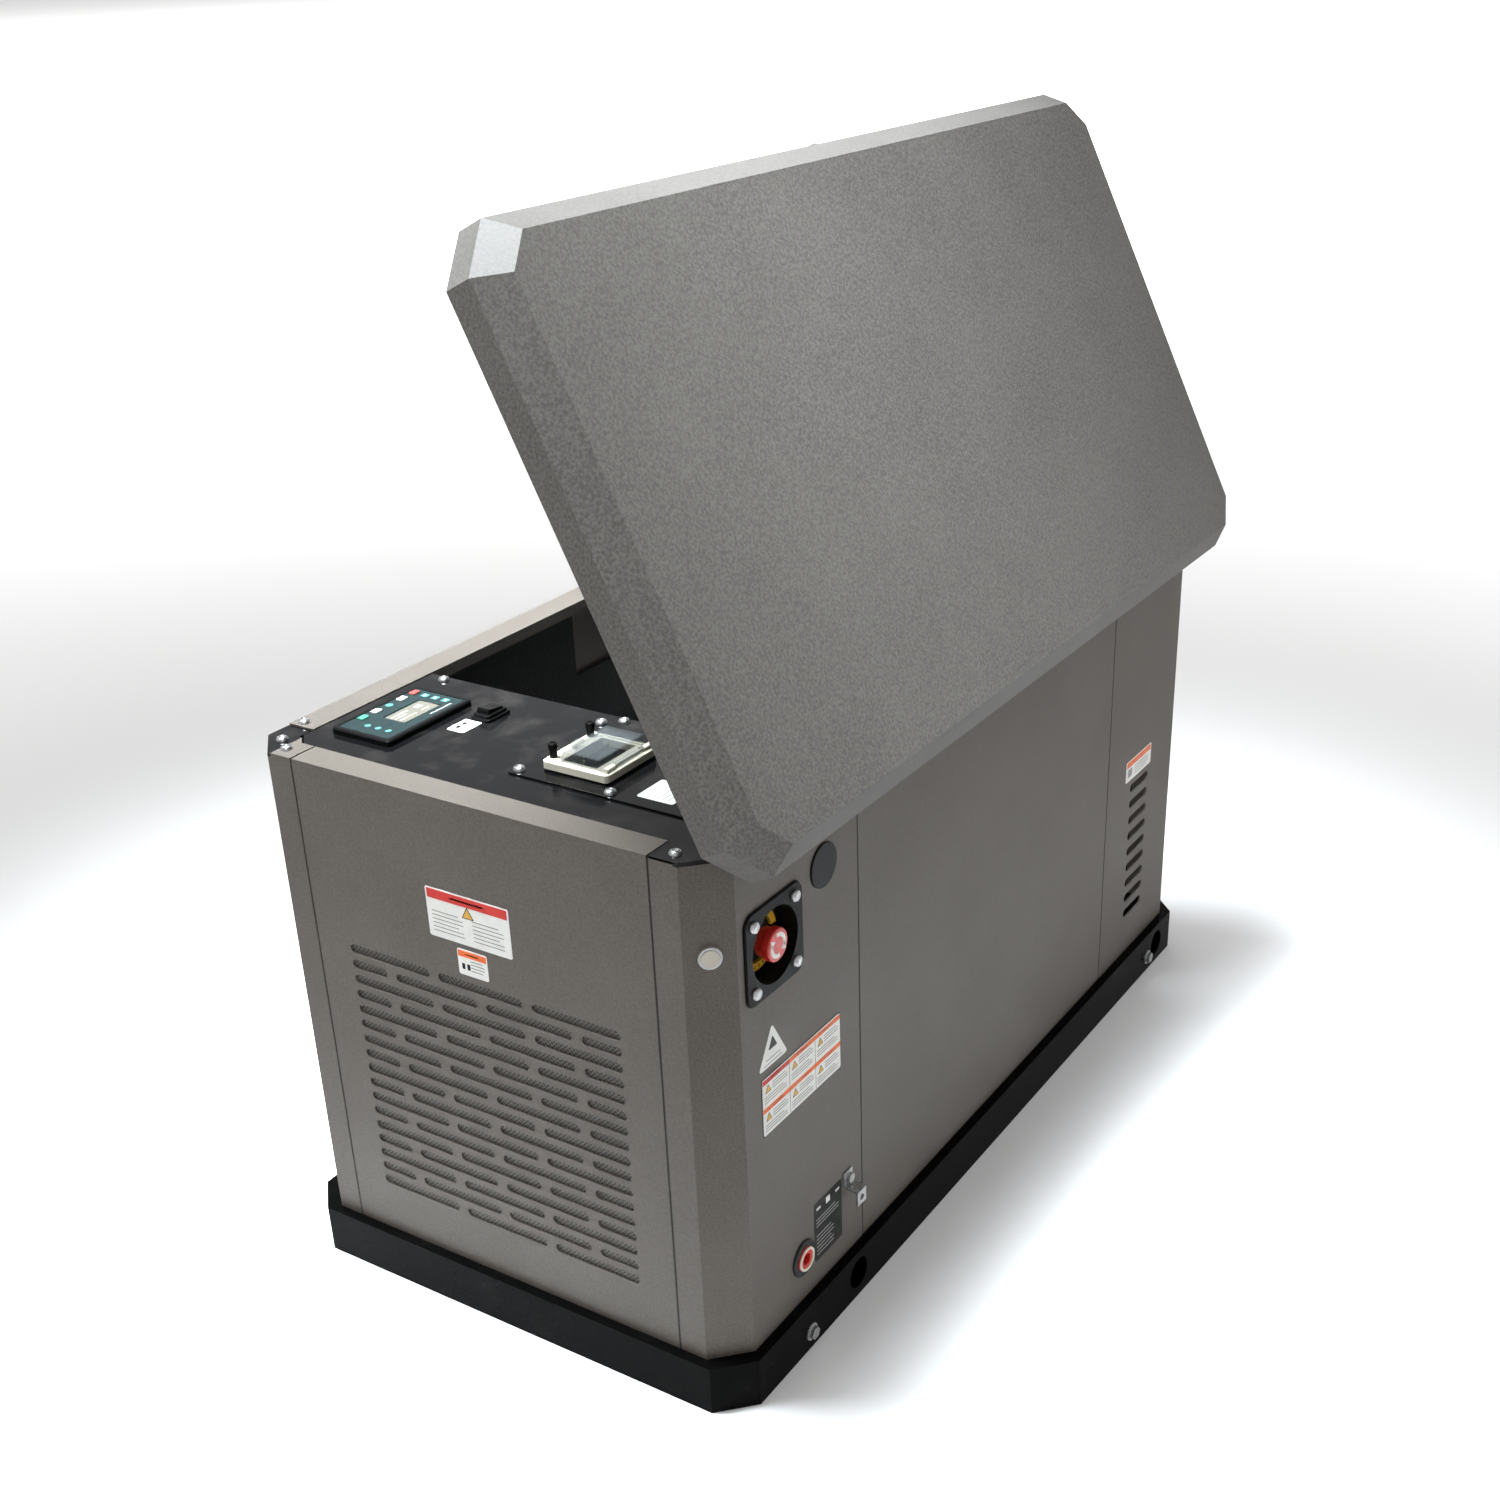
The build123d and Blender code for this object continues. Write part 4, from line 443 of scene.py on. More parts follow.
# ------------------------------------------------------------------ modelling helpers
def start_clean():
    """Leave edit mode and deselect everything."""
    if bpy.context.object and bpy.context.object.mode != "OBJECT":
        bpy.ops.object.mode_set(mode="OBJECT")
    bpy.ops.object.select_all(action="DESELECT")


def settle(name, place, *materials):
    """Name the active piece, move it to its place and bake that into the mesh."""
    piece = bpy.context.object
    piece.name = name
    piece.data.name = name
    piece.matrix_world = place @ piece.matrix_world
    bpy.ops.object.transform_apply(location=True, rotation=True, scale=True)
    for material in materials:
        piece.data.materials.append(MATERIALS[material])
    return piece


def facing(origin, right, up):
    """Placement whose X runs right, Y up and Z out of the face."""
    right, up = Vector(right).normalized(), Vector(up).normalized()
    out = right.cross(up)
    turned = Matrix((right, up, out)).transposed().to_4x4()
    return Matrix.Translation(Vector(origin)) @ turned


def thicken(thickness):
    """Extrude the selected faces up, then select the whole mesh."""
    bpy.ops.mesh.extrude_region_move(TRANSFORM_OT_translate={"value": (0.0, 0.0, thickness)})
    bpy.ops.mesh.select_all(action="SELECT")


def film_patch(name, place, u, v, width, height, thickness, material, radius=0.0):
    """Rounded flat patch of film, centred at (u, v) on a face."""
    start_clean()
    bpy.ops.mesh.primitive_plane_add(size=1.0)
    bpy.ops.object.mode_set(mode="EDIT")
    bpy.ops.mesh.select_all(action="SELECT")
    bpy.ops.transform.resize(value=(width, height, 1.0))
    if radius:
        bpy.ops.mesh.bevel(offset=radius, segments=5, affect="VERTICES")
    bpy.ops.mesh.select_all(action="SELECT")
    thicken(thickness)
    bpy.ops.transform.translate(value=(u, v, 0.0))
    bpy.ops.mesh.normals_make_consistent(inside=False)
    bpy.ops.object.mode_set(mode="OBJECT")
    return settle(name, place, material)


def ring_patch(name, place, inner, outer, thickness, material, segments=RING_SIDES, keep=()):
    """Flat ring, or the part of it beyond each plane (point, normal) in keep."""
    start_clean()
    bpy.ops.mesh.primitive_circle_add(vertices=segments, radius=inner, fill_type="NOTHING")
    bpy.ops.object.mode_set(mode="EDIT")
    bpy.ops.mesh.select_all(action="SELECT")
    bpy.ops.mesh.extrude_edges_move()
    factor = outer / inner
    bpy.ops.transform.resize(value=(factor, factor, 1.0))
    bpy.ops.mesh.select_all(action="SELECT")
    thicken(thickness)
    bpy.ops.mesh.normals_make_consistent(inside=False)
    for point, normal in keep:
        bpy.ops.mesh.select_all(action="SELECT")
        bpy.ops.mesh.bisect(plane_co=point, plane_no=normal, use_fill=True, clear_inner=True)
    bpy.ops.mesh.select_all(action="SELECT")
    bpy.ops.mesh.normals_make_consistent(inside=False)
    bpy.ops.object.mode_set(mode="OBJECT")
    return settle(name, place, material)


def polygon_patch(name, place, sides, radius, thickness, material, turn=0.0, bevel=0.0,
                  u=0.0, v=0.0):
    """Flat regular polygon, with rounded corners where bevel is given: a triangle or a disc."""
    start_clean()
    bpy.ops.mesh.primitive_circle_add(vertices=sides, radius=radius, fill_type="NGON",
                                      rotation=(0.0, 0.0, turn))
    bpy.ops.object.transform_apply(rotation=True)
    bpy.ops.object.mode_set(mode="EDIT")
    bpy.ops.mesh.select_all(action="SELECT")
    if bevel:
        bpy.ops.mesh.bevel(offset=bevel, segments=5, affect="VERTICES")
    bpy.ops.mesh.select_all(action="SELECT")
    thicken(thickness)
    bpy.ops.transform.translate(value=(u, v, 0.0))
    bpy.ops.mesh.normals_make_consistent(inside=False)
    bpy.ops.object.mode_set(mode="OBJECT")
    return settle(name, place, material)


def socket_head(name, radius, height):
    """Domed screw head with a sunk middle, its seat at the origin."""
    start_clean()
    bpy.ops.mesh.primitive_circle_add(vertices=24, radius=radius, fill_type="NGON")
    bpy.ops.object.mode_set(mode="EDIT")
    bpy.ops.mesh.select_all(action="SELECT")
    dome = ((0.35, 0.98), (0.3, 0.87), (0.2, 0.7), (0.15, 0.5))     # rise and width, as shares
    socket_drop, socket_width, last = 0.12, 0.86, 1.0
    for rise, width in dome + ((-socket_drop, socket_width * dome[-1][1]),):
        bpy.ops.mesh.extrude_region_move(
            TRANSFORM_OT_translate={"value": (0.0, 0.0, rise * height)})
        bpy.ops.transform.resize(value=(width / last, width / last, 1.0))
        last = width
    bpy.ops.mesh.select_all(action="SELECT")
    bpy.ops.mesh.normals_make_consistent(inside=False)
    bpy.ops.object.mode_set(mode="OBJECT")
    bpy.ops.object.shade_smooth_by_angle(angle=math.radians(35))
    return settle(name, Matrix.Identity(4), "zinc")


def screw_faces():
    """Middle of each cabinet screw's face and the way it points, from the fasteners node."""
    start_clean()
    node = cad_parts["fasteners"]
    copy = node.copy()
    copy.data = node.data.copy()
    copy.parent = None
    bpy.context.collection.objects.link(copy)
    copy.select_set(True)
    bpy.context.view_layer.objects.active = copy
    bpy.ops.object.mode_set(mode="EDIT")
    bpy.ops.mesh.select_all(action="SELECT")
    bpy.ops.mesh.remove_doubles(threshold=0.01 * MM)
    bpy.ops.mesh.separate(type="LOOSE")
    bpy.ops.object.mode_set(mode="OBJECT")
    widest, round_within = 2.3 * sizes().screw_radius, 0.3 * MM
    faces = []
    for piece in bpy.context.selected_objects:
        points = [vertex.co for vertex in piece.data.vertices]
        low = Vector([min(point[axis] for point in points) for axis in range(3)])
        high = Vector([max(point[axis] for point in points) for axis in range(3)])
        size, centre = high - low, (low + high) / 2
        if size.x > widest:
            continue
        if abs(size.x - size.y) < round_within:
            faces.append((Vector((centre.x, centre.y, high.z)), Vector(UP)))
        elif centre.y < 0:
            faces.append((Vector((centre.x, low.y, centre.z)), Vector((0, -1, 0))))
    bpy.ops.object.delete()
    return faces


def joined(name, pieces, body):
    """Join patches into one piece that rides on a body."""
    start_clean()
    for piece in pieces:
        piece.select_set(True)
    bpy.context.view_layer.objects.active = pieces[0]
    if len(pieces) > 1:
        bpy.ops.object.join()
    piece = bpy.context.view_layer.objects.active
    piece.name = name
    piece.data.name = name
    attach(piece, body)
    return piece


def label(name, place, width, height, patches, body, base="film_white", signs=()):
    """Label of one base film; patches are (u, v, width, height, material), signs (u, v, radius).

    All of them are in mm. A sign is an amber triangle with a black edge.
    """
    film = sizes().label_film
    lifted = place @ Matrix.Translation((0.0, 0.0, film))
    parts = [film_patch(name, place, 0, 0, width * MM, height * MM, film, base,
                        sizes().label_corner)]
    for index, (u, v, wide, high, material) in enumerate(patches):
        parts.append(film_patch(f"{name}_patch_{index}", lifted, u * MM, v * MM, wide * MM,
                                high * MM, INK, material))
    for index, (u, v, radius) in enumerate(signs):
        for size, material, lift in ((radius, "film_black", 0.1),
                                     (radius * 0.78, "film_amber", 0.2)):
            parts.append(polygon_patch(f"{name}_sign_{index}", lifted, 3, size * MM, lift * MM,
                                       material, 0.0, size * 0.12 * MM, u * MM, v * MM))
    return joined(name, parts, body)


def text_bars(u, v, width, rows, pitch, material="film_grey", bar=1.1):
    """Rows of plain bars standing for small print, every third one shorter."""
    result = []
    for row in range(rows):
        run = width * (0.94 if row % 3 else 0.8)
        result.append((u - (width - run) / 2, v - row * pitch, run, bar, material))
    return result


def front_face(x, z, off=0.0):
    """Placement on the front of the cabinet, x, z and off in mm."""
    return facing((x * MM, FRONT_Y - off * MM, z * MM), (1, 0, 0), UP)


def end_face(y, z):
    """Placement on the intake end, y and z in mm."""
    return facing((INTAKE_X, y * MM, z * MM), (0, -1, 0), UP)


def top_face(x, y, height):
    """Placement on an upward face, x and y in mm and the height in metres."""
    return facing((x * MM, y * MM, height), (1, 0, 0), (0, 1, 0))


# ------------------------------------------------------------------ operators
class GENERATOR_OT_finishes(bpy.types.Operator):
    """Give every CAD node its finish"""

    bl_idname = "generator.finishes"
    bl_label = "Finishes"

    def execute(self, context):
        make_materials()
        for finish, names in NODE_FINISH.items():
            for node in names.split():
                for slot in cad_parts[node].material_slots:
                    slot.material = MATERIALS[finish]
        return {"FINISHED"}


class GENERATOR_OT_intake_screen(bpy.types.Operator):
    """Fine mesh behind the intake grille"""

    bl_idname = "generator.intake_screen"
    bl_label = "Intake screen"

    def execute(self, context):
        low, high = corner("intake_mesh", 0), corner("intake_mesh", 1)
        centre, size = middle("intake_mesh"), high - low
        place = facing((high.x, centre.y, centre.z), (0, -1, 0), UP)
        screen = film_patch("intake_screen", place, 0, 0, size.y, size.z, size.x, "screen", 6 * MM)
        piece = joined("intake_screen", [screen], "enclosure")
        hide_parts("intake_mesh")
        return {"FINISHED"}


class GENERATOR_OT_foam_lining(bpy.types.Operator):
    """Black foam on the rear panel, inside the engine bay"""

    bl_idname = "generator.foam_lining"
    bl_label = "Foam lining"

    def execute(self, context):
        low, high = corner("bulkheads", 0), corner("bulkheads", 1)
        thick, behind, end_gap = 6 * MM, 2.2 * MM, 8 * MM
        half_keeper, keeper_top = 42 * MM, high.z - 110 * MM     # room round the latch's keeper
        foot, full = low.z + 20 * MM, high.z - 22 * MM
        rear = corner("rear_posts", 1).y - behind
        sheets = []
        for left, right, top in ((low.x + end_gap, -half_keeper, full),
                                 (-half_keeper, half_keeper, keeper_top),
                                 (half_keeper, high.x - end_gap, full)):
            place = facing(((left + right) / 2, rear, (foot + top) / 2), (1, 0, 0), UP)
            sheets.append(film_patch("rear_foam", place, 0, 0, right - left, top - foot, thick,
                                     "foam"))
        joined("rear_foam", sheets, "enclosure")
        return {"FINISHED"}


class GENERATOR_OT_seam_gaskets(bpy.types.Operator):
    """Black rubber strips down the open joints between the panels"""

    bl_idname = "generator.seam_gaskets"
    bl_label = "Seam gaskets"

    def execute(self, context):
        foot = corner("intake_end_panel", 0).z + 1 * MM
        top = corner("intake_end_panel", 1).z - 3 * MM
        height = (foot + top) / 2
        depth, thick, ease = 1.9 * MM, 1.2 * MM, 0.15 * MM
        seams = []      # width and placement of each
        for low, high in ((corner("front_left_panel", 1).x, corner("front_door", 0).x),
                          (corner("front_door", 1).x, corner("front_right_panel", 0).x)):
            spot = ((low + high) / 2, FRONT_Y + depth, height)
            seams.append((high - low, facing(spot, (1, 0, 0), UP)))
        for panel, side, out in (("intake_end_panel", 0, -1), ("exhaust_end_panel", 1, 1)):
            face = corner(panel, side).x - out * depth
            for low, high in ((corner("front_left_panel", 1).y, corner(panel, 0).y),
                              (corner(panel, 1).y, corner("rear_posts", 0).y)):
                spot = (face, (low + high) / 2, height)
                seams.append((high - low, facing(spot, (0, out, 0), UP)))
        strips = [film_patch("seam_gasket", place, 0, 0, width - 2 * ease, top - foot, thick,
                             "rubber") for width, place in seams]
        joined("seam_gaskets", strips, "enclosure")
        return {"FINISHED"}


class GENERATOR_OT_stop_button(bpy.types.Operator):
    """Legend ring and turning arrows of the stop button"""

    bl_idname = "generator.stop_button"
    bl_label = "Stop button"

    def execute(self, context):
        depth, ring, half_gap = 22 * MM, 4 * MM, 5 * MM
        mark_step, marks_each_way = math.radians(14), 3
        place = facing((STOP.x, FRONT_Y + depth, STOP.z), (1, 0, 0), UP)
        inner, outer = sizes().ring_inner, sizes().ring_outer
        arcs = []
        for side in (-1, 1):
            keep = [((0, side * half_gap, 0), (0, side, 0))]
            arcs.append(ring_patch("legend_arc", place, inner, outer, ring, "legend", 72, keep))
            for step in range(-marks_each_way, marks_each_way + 1):
                turn = Matrix.Rotation(math.radians(90) * side + mark_step * step, 4, "Z")
                spot = place @ turn @ Matrix.Translation(((inner + outer) / 2, 0, ring))
                arcs.append(film_patch("legend_mark", spot, 0, 0, 4.5 * MM, 1.6 * MM, INK,
                                       "film_black"))
        joined("stop_legend_ring", arcs, "enclosure")
        sunk, thick = 0.02 * MM, 0.25 * MM
        arrow_inner, arrow_outer, tip_radius = 9.2 * MM, 13.6 * MM, 5.2 * MM
        head = facing((STOP.x, STOP_FACE + sunk, STOP.z), (1, 0, 0), UP)
        keep = [((0, 0, 0), (0.0, 1, 0)), ((0, 0, 0), (0.85, 0.5, 0))]
        marks = []
        for index in range(2):
            turned = head @ Matrix.Rotation(math.radians(180 * index - 20), 4, "Z")
            marks.append(ring_patch("arrow_arc", turned, arrow_inner, arrow_outer, thick,
                                    "film_white", 60, keep))
            tip = Matrix.Translation((11.2 * MM, -1.6 * MM, 0.0))
            tip = turned @ tip @ Matrix.Rotation(math.radians(-93), 4, "Z")
            marks.append(polygon_patch("arrow_tip", tip, 3, tip_radius, thick, "film_white",
                                       math.radians(90)))
        joined("stop_turning_arrows", marks, "stop_button")
        return {"FINISHED"}


class GENERATOR_OT_controller(bpy.types.Operator):
    """Display, lamps and function squares of the controller"""

    bl_idname = "generator.controller"
    bl_label = "Controller"

    def execute(self, context):
        centre = middle("controller_housing")
        cx, cy = centre.x / MM, centre.y / MM
        film, glass, sunk = 0.25 * MM, 0.3 * MM, 0.6 * MM
        face = top_face(cx, cy, FASCIA_TOP)
        screen = top_face(cx, cy, FASCIA_TOP - sunk)
        parts = [film_patch("display", screen, 9 * MM, -6 * MM, 56.5 * MM, 28.5 * MM, glass,
                            "display", 1.5 * MM)]
        digits = ((-4, 1, 26, 3.4), (-8, -5, 18, 2.6), (-4, -12, 26, 2.6), (24, -1, 10, 7),
                  (23, -12, 12, 2.6))     # u, v, width and height in mm
        lifted = screen @ Matrix.Translation((0, 0, glass))
        for u, v, wide, high in digits:
            parts.append(film_patch("digits", lifted, u * MM, v * MM, wide * MM, high * MM,
                                    0.1 * MM, "film_grey"))
        lamps_u, squares_u, row_pitch, square = -45 * MM, 51 * MM, 15 * MM, 8.5 * MM
        raised = face @ Matrix.Translation((0, 0, film))
        for row in range(3):
            lamp_v, square_v = 9 * MM - row * row_pitch, 13 * MM - row * row_pitch
            parts.append(polygon_patch("side_lamp", face, 32, 3.6 * MM, film, "film_teal",
                                       u=lamps_u, v=lamp_v))
            parts.append(film_patch("function_square", face, squares_u, square_v, square, square,
                                    film, "film_teal", 1.5 * MM))
            parts.append(film_patch("function_mark", raised, squares_u, square_v, 4 * MM,
                                    1.4 * MM, 0.1 * MM, "film_white"))
        parts.append(polygon_patch("indicator", face, DISC_SIDES, 4.6 * MM, film, "film_teal",
                                   u=10 * MM, v=29 * MM))
        parts.append(film_patch("foot_strip", face, 30 * MM, -29 * MM, 34 * MM, 2.4 * MM, film,
                                "film_grey"))
        joined("controller_markings", parts, "enclosure")
        return {"FINISHED"}


class GENERATOR_OT_labels(bpy.types.Operator):
    """Plain generic labels on the cabinet and the control panel"""

    bl_idname = "generator.labels"
    bl_label = "Labels"

    def execute(self, context):
        body, slot, dark_slot = "enclosure", "key_auto", "estop_cup"
        rows = [(0, 22, 107, 11, "film_red"), (0, 22, 44, 2.2, "film_white")]
        rows += text_bars(-27, 2, 44, 6, 4.6) + text_bars(27, 2, 44, 6, 4.6)
        label("end_label_large", end_face(4.5, 519), 111, 58, rows, body,
              signs=[(0, 8, 9.5)])
        rows = [(0, 10, 38, 7.5, "film_orange"), (0, 10, 18, 1.4, "film_white"),
                (-13, -5, 4, 7, "film_black"), (-6, -5, 4, 7, "film_black")]
        rows += text_bars(7, 3, 20, 4, 3.8)
        label("end_label_small", end_face(5, 468.5), 40, 31, rows, body)

        column_pitch, half_row = 50.6, 17.0
        rows, signs = [], []
        for column in (-1, 0, 1):
            for v in (half_row, -half_row):
                u = column * column_pitch
                header = "film_red" if column < 0 and v > 0 else "film_orange"
                rows.append((u, v + 13.0, 50.4, 5.5, header))
                rows.append((u, v + 13.0, 26, 1.2, "film_white"))
                rows += text_bars(u + 8, v + 6, 30, 3, 3.2)
                rows += text_bars(u, v - 6, 44, 3, 3.2)
                signs.append((u - 15, v + 2, 6.5))
        rows += [(-25.3, 0, 0.5, 66, "film_black"), (25.3, 0, 0.5, 66, "film_black")]
        # Black film a little larger than the label, laid under it: painted shadow of the label's
        # thick edge.
        x, z, shadow_sheet_mm = -451, 351, 0.2
        edge = film_patch("front_label_painted_shadow", front_face(x, z), 0, 0, 155 * MM, 71 * MM,
                          shadow_sheet_mm * MM, "film_black", 3 * MM)
        joined("front_label_painted_shadow", [edge], body)
        label("front_label_large", front_face(x, z, shadow_sheet_mm), 152, 68, rows, body,
              signs=signs)

        rows = [(-20, 30, 8, 3, "film_white"), (0, 30, 8, 8, "film_white"),
                (20, 30, 8, 3, "film_white")]
        rows += text_bars(0, 16, 50, 3, 4.4, bar=1.3) + text_bars(-6, -6, 38, 6, 5.0, bar=1.3)
        label("front_label_data", front_face(-407, 131), 58, 78, rows, body,
              base="film_black")
        rows = [(0, 10, 82, 8, "film_orange"), (-30, -3, 14, 12, "film_grey")]
        rows += text_bars(12, 2, 52, 4, 4.0)
        label("front_label_right", front_face(438, 356), 87, 31, rows, body)

        film = sizes().label_film
        place = front_face(-505, 411)
        lifted = place @ Matrix.Translation((0, 0, film))
        parts = [polygon_patch("triangle", place, 3, 31 * MM, film, "film_white", bevel=5 * MM),
                 polygon_patch("triangle_core", lifted, 3, 9.5 * MM, INK, "film_black",
                               bevel=1.5 * MM, v=8 * MM)]
        for v, width in ((-7, 26), (-12, 34)):
            parts.append(film_patch("triangle_bar", lifted, 0, v * MM, width * MM, 1.3 * MM, INK,
                                    "film_grey"))
        joined("front_label_triangle", parts, body)

        rows = [(-5, 4, 7, 5, "film_black"), (5, 4, 7, 5, "film_black"),
                (0, -6, 18, 2, "film_grey")]
        label("rocker_label", top_face(-440, 128, PANEL_TOP), 32, 24, rows, body)
        label("breaker_label", top_face(-475, -168, PLATE_TOP), 44, 44,
              text_bars(0, 17, 34, 6, 6.0), body)
        return {"FINISHED"}


class GENERATOR_OT_fittings(bpy.types.Operator):
    """Ring round the status lamp, and the fuel cap's ring and floor"""

    bl_idname = "generator.fittings"
    bl_label = "Small fittings"

    def execute(self, context):
        chamfer, lamp_inner, lamp_thick = 37.5 * MM, 9.7 * MM, 2.9 * MM
        low, high = corner("status_lamp", 0), corner("status_lamp", 1)
        centre = (INTAKE_X + chamfer / 2, FRONT_Y + chamfer / 2, middle("status_lamp").z)
        ring = ring_patch("lamp_ring", facing(centre, (1, -1, 0), UP), lamp_inner,
                          (high.z - low.z) / 2, lamp_thick, "zinc")
        joined("lamp_ring", [ring], "enclosure")
        cap = middle("fuel_cap")
        ring_out, floor_in = -4.6 * MM, 3.8 * MM      # from the front face
        place, floor = (facing((cap.x, FRONT_Y + depth, cap.z), (1, 0, 0), UP)
                        for depth in (ring_out, floor_in))
        core = [ring_patch("fuel_core", place, 11.6 * MM, 14.2 * MM, 1.4 * MM, "abs_cream", 48),
                polygon_patch("fuel_floor", floor, DISC_SIDES, 6.9 * MM, 0.6 * MM, "stop_red")]
        joined("fuel_red_core", core, "enclosure")
        return {"FINISHED"}


class GENERATOR_OT_gusset_covers(bpy.types.Operator):
    """Black enamelled plates over the tops of the two front corners"""

    bl_idname = "generator.gusset_covers"
    bl_label = "Gusset covers"

    def execute(self, context):
        low, high = corner("corner_gussets", 0), corner("corner_gussets", 1)
        flange, post, cut, thick = 36 * MM, 70 * MM, 37 * MM, 2.7 * MM
        inner = post - 2 * MM
        points = ((0, post), (0, cut), (cut, 0), (inner, 0), (inner, flange), (flange, post))
        covers = []
        for side, edge in ((-1, low.x), (1, high.x)):
            start_clean()
            bpy.ops.mesh.primitive_circle_add(vertices=len(points), radius=post, fill_type="NGON")
            cover = context.object
            for vertex, (u, v) in zip(cover.data.vertices, points):
                vertex.co = (edge - side * u, low.y + v, high.z)
            bpy.ops.object.mode_set(mode="EDIT")
            bpy.ops.mesh.select_all(action="SELECT")
            thicken(thick)
            bpy.ops.mesh.normals_make_consistent(inside=False)
            bpy.ops.object.mode_set(mode="OBJECT")
            covers.append(settle("gusset_cover", Matrix.Identity(4), "enamel"))
        joined("front_gusset_covers", covers, "enclosure")
        return {"FINISHED"}


class GENERATOR_OT_screw_heads(bpy.types.Operator):
    """Domed heads over the cabinet's screws"""

    bl_idname = "generator.screw_heads"
    bl_label = "Screw heads"

    def execute(self, context):
        pattern = socket_head("screw_head", sizes().screw_radius, sizes().screw_height)
        heads, across = [], Vector((1, 0, 0))
        for centre, out in screw_faces():
            seat = centre - out * sizes().screw_seat
            head = pattern.copy()
            head.data = pattern.data.copy()
            context.collection.objects.link(head)
            head.data.transform(facing(seat, across, out.cross(across)))
            heads.append(head)
        start_clean()
        pattern.select_set(True)
        bpy.ops.object.delete()
        joined("screw_heads", heads, "enclosure")
        return {"FINISHED"}


# stage, in metres, watts and degrees
FLOOR_SIZE, AIR_STRENGTH = 240.0, 0.6
NEUTRAL, COOL = (1.0, 1.0, 1.0), (0.88, 0.95, 1.0)
LIGHTS = (      # name, position, target, size, power, beam and tint
    ("overhead_grid", (-0.3, 0.42, 2.7), (-0.1, 0.12, 0.6), 1.3, 39.0, 42.0, COOL),
    ("wash_north_east", (5.5, 4.5, 6.0), (7.5, 6.0, 0.0), 5.0, 800.0, 140.0, NEUTRAL),
    ("wash_north_west", (-5.5, 4.5, 6.0), (-7.5, 6.0, 0.0), 5.0, 700.0, 140.0, NEUTRAL),
    ("wash_south_east", (5.5, -4.5, 6.0), (7.5, -6.0, 0.0), 5.0, 600.0, 140.0, NEUTRAL),
    ("wash_south_west", (-5.5, -4.5, 6.0), (-7.5, -6.0, 0.0), 5.0, 300.0, 140.0, NEUTRAL),
    ("wash_far", (14.0, 10.0, 9.0), (17.0, 12.0, 0.0), 7.0, 4500.0, 150.0, NEUTRAL),
)
VIEW_FROM, VIEW_ANGLES, VIEW_SHIFT = ((-1.8493, -1.2056, 1.4538), (63.349, 1.418, -58.135),
                                      (-0.0356, 0.0630))


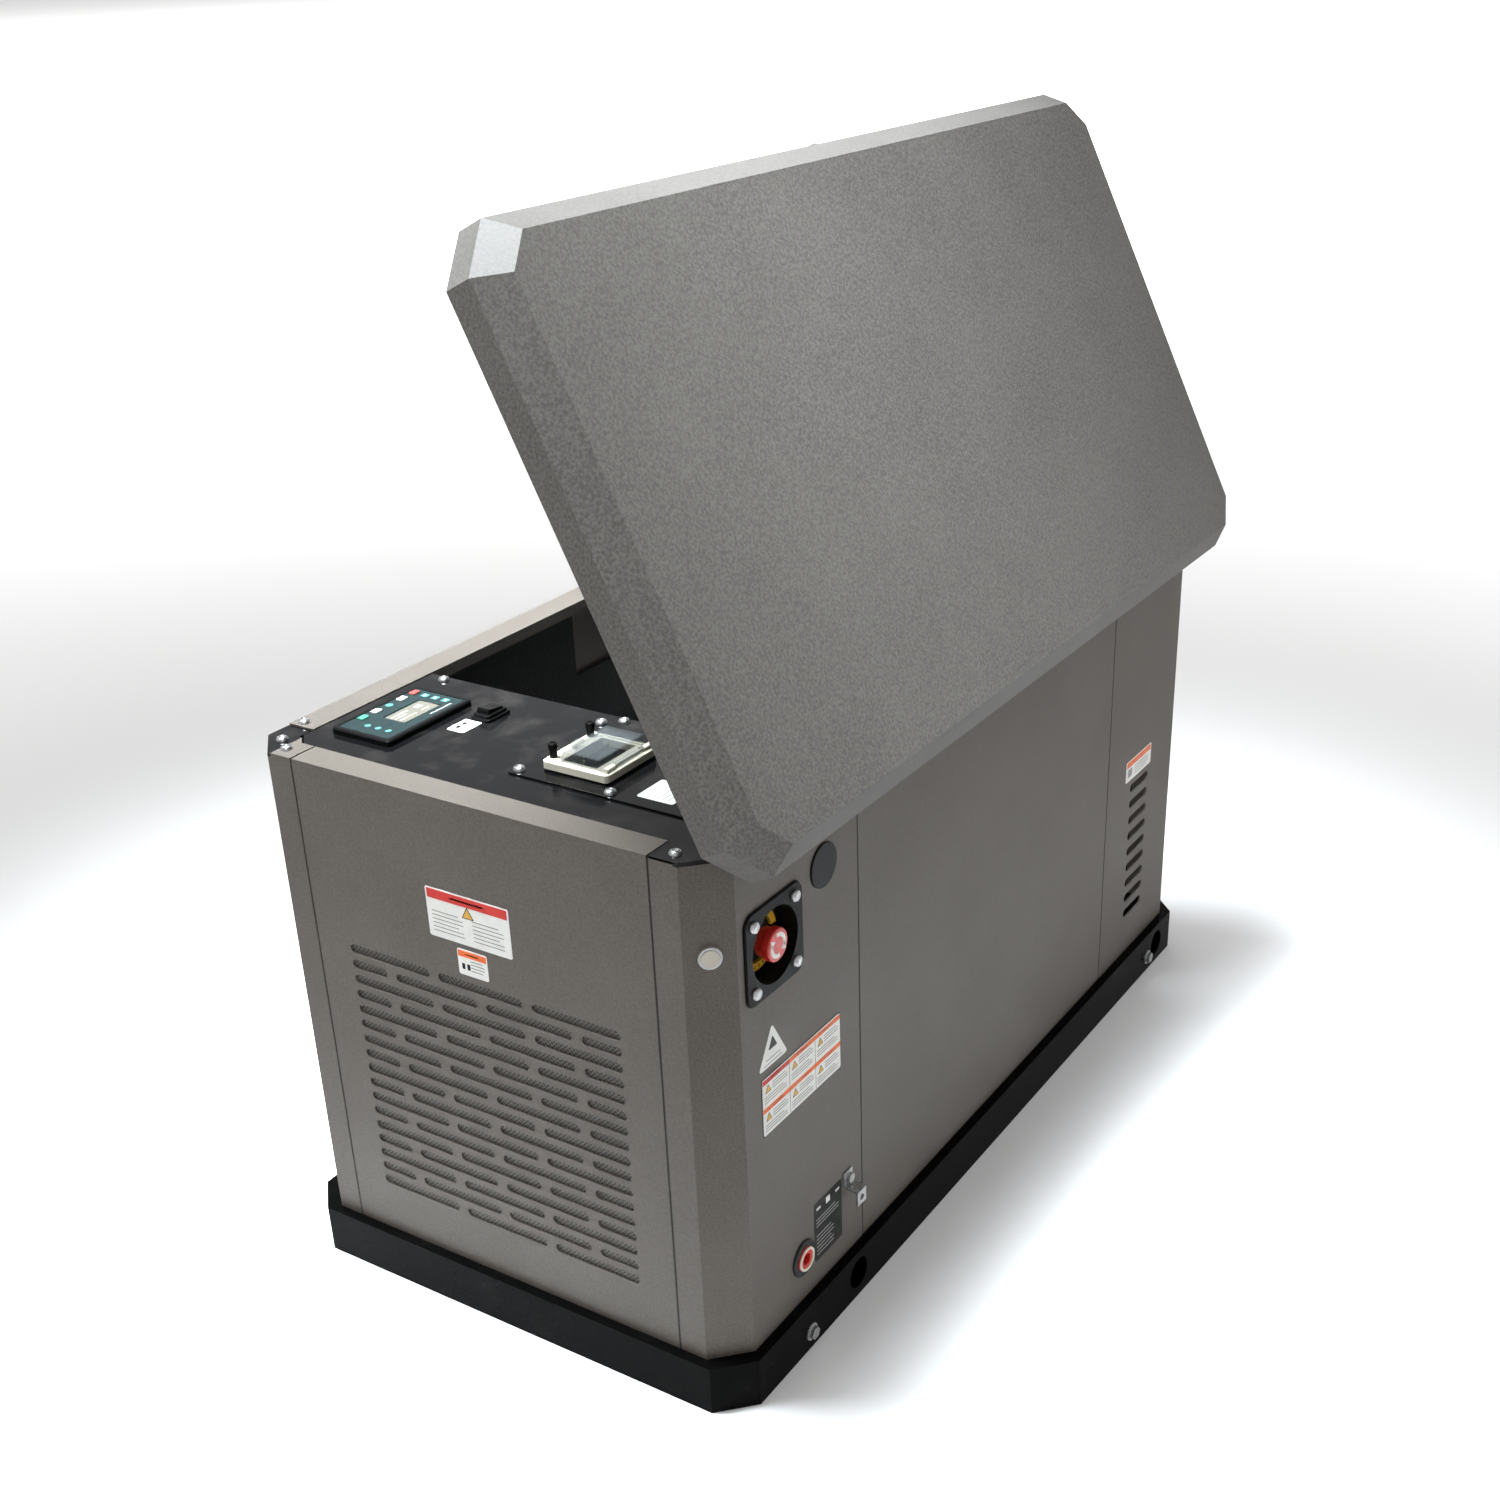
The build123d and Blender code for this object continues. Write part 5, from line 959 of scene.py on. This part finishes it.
class GENERATOR_OT_stage(bpy.types.Operator):
    """Pale floor, soft studio light and the view"""

    bl_idname = "generator.stage"
    bl_label = "Stage"

    def execute(self, context):
        scene = context.scene
        below = 0.5 * MM
        start_clean()
        bpy.ops.mesh.primitive_plane_add(size=FLOOR_SIZE, location=(0, 0, -below))
        floor = context.object
        floor.name = "studio_floor"
        material, tree, shader, place = new_material("painted_studio_floor")
        tone = blend_colours(tree, grain(tree, place, 400.0), linear("#F4F4F3"), linear("#F8F8F8"))
        tree.links.new(tone, shader.inputs["Base Color"])
        shader.inputs["Roughness"].default_value = 0.85
        floor.data.materials.append(material)
        scene.world = bpy.data.worlds.new("studio_air")
        scene.world.use_nodes = True
        air = scene.world.node_tree.nodes["Background"]
        air.inputs["Color"].default_value = (1.0, 1.0, 1.0, 1.0)
        air.inputs["Strength"].default_value = AIR_STRENGTH
        for name, position, target, size, power, beam, tint in LIGHTS:
            start_clean()
            bpy.ops.object.light_add(type="AREA", location=position)
            lamp = context.object
            lamp.name = name
            lamp.data.size = size
            lamp.data.energy = power
            lamp.data.spread = math.radians(beam)
            lamp.data.color = tint
            aim = Vector(target) - Vector(position)
            lamp.rotation_euler = aim.to_track_quat("-Z", "Y").to_euler()
        start_clean()
        bpy.ops.object.camera_add(location=VIEW_FROM,
                                  rotation=[math.radians(angle) for angle in VIEW_ANGLES])
        camera = context.object
        camera.data.sensor_width = 36.0
        camera.data.lens = sizes().lens_mm
        camera.data.shift_x, camera.data.shift_y = VIEW_SHIFT
        scene.camera = camera
        scene.view_settings.view_transform = "Standard"
        return {"FINISHED"}


class GENERATOR_PT_sidebar(bpy.types.Panel):
    """Buttons and settings of the generator"""

    bl_label = "Generator"
    bl_space_type = "VIEW_3D"
    bl_region_type = "UI"
    bl_category = "Generator"

    def draw(self, context):
        layout = self.layout
        for group in (context.scene.generator_sizes, context.scene.generator_colours):
            for name in group.__annotations__:
                layout.prop(group, name)
        for operator in OPERATORS:
            layout.operator(operator.bl_idname)


OPERATORS = (
    GENERATOR_OT_finishes,
    GENERATOR_OT_intake_screen,
    GENERATOR_OT_foam_lining,
    GENERATOR_OT_seam_gaskets,
    GENERATOR_OT_stop_button,
    GENERATOR_OT_controller,
    GENERATOR_OT_labels,
    GENERATOR_OT_fittings,
    GENERATOR_OT_gusset_covers,
    GENERATOR_OT_screw_heads,
    GENERATOR_OT_stage,
)
CLASSES = (GeneratorColours, GeneratorSizes) + OPERATORS + (GENERATOR_PT_sidebar,)


def register():
    """Register every class and attach the settings to the scene."""
    for item in CLASSES:
        bpy.utils.register_class(item)
    bpy.types.Scene.generator_colours = bpy.props.PointerProperty(type=GeneratorColours)
    bpy.types.Scene.generator_sizes = bpy.props.PointerProperty(type=GeneratorSizes)


def unregister():
    """Undo register."""
    del bpy.types.Scene.generator_sizes
    del bpy.types.Scene.generator_colours
    for item in reversed(CLASSES):
        bpy.utils.unregister_class(item)


def main():
    """Build the visual model and its stage."""
    register()
    bpy.ops.generator.finishes()
    bpy.ops.generator.intake_screen()
    bpy.ops.generator.foam_lining()
    bpy.ops.generator.seam_gaskets()
    bpy.ops.generator.stop_button()
    bpy.ops.generator.controller()
    bpy.ops.generator.labels()
    bpy.ops.generator.fittings()
    bpy.ops.generator.gusset_covers()
    bpy.ops.generator.screw_heads()
    bpy.ops.generator.stage()


if __name__ == "__main__":
    main()
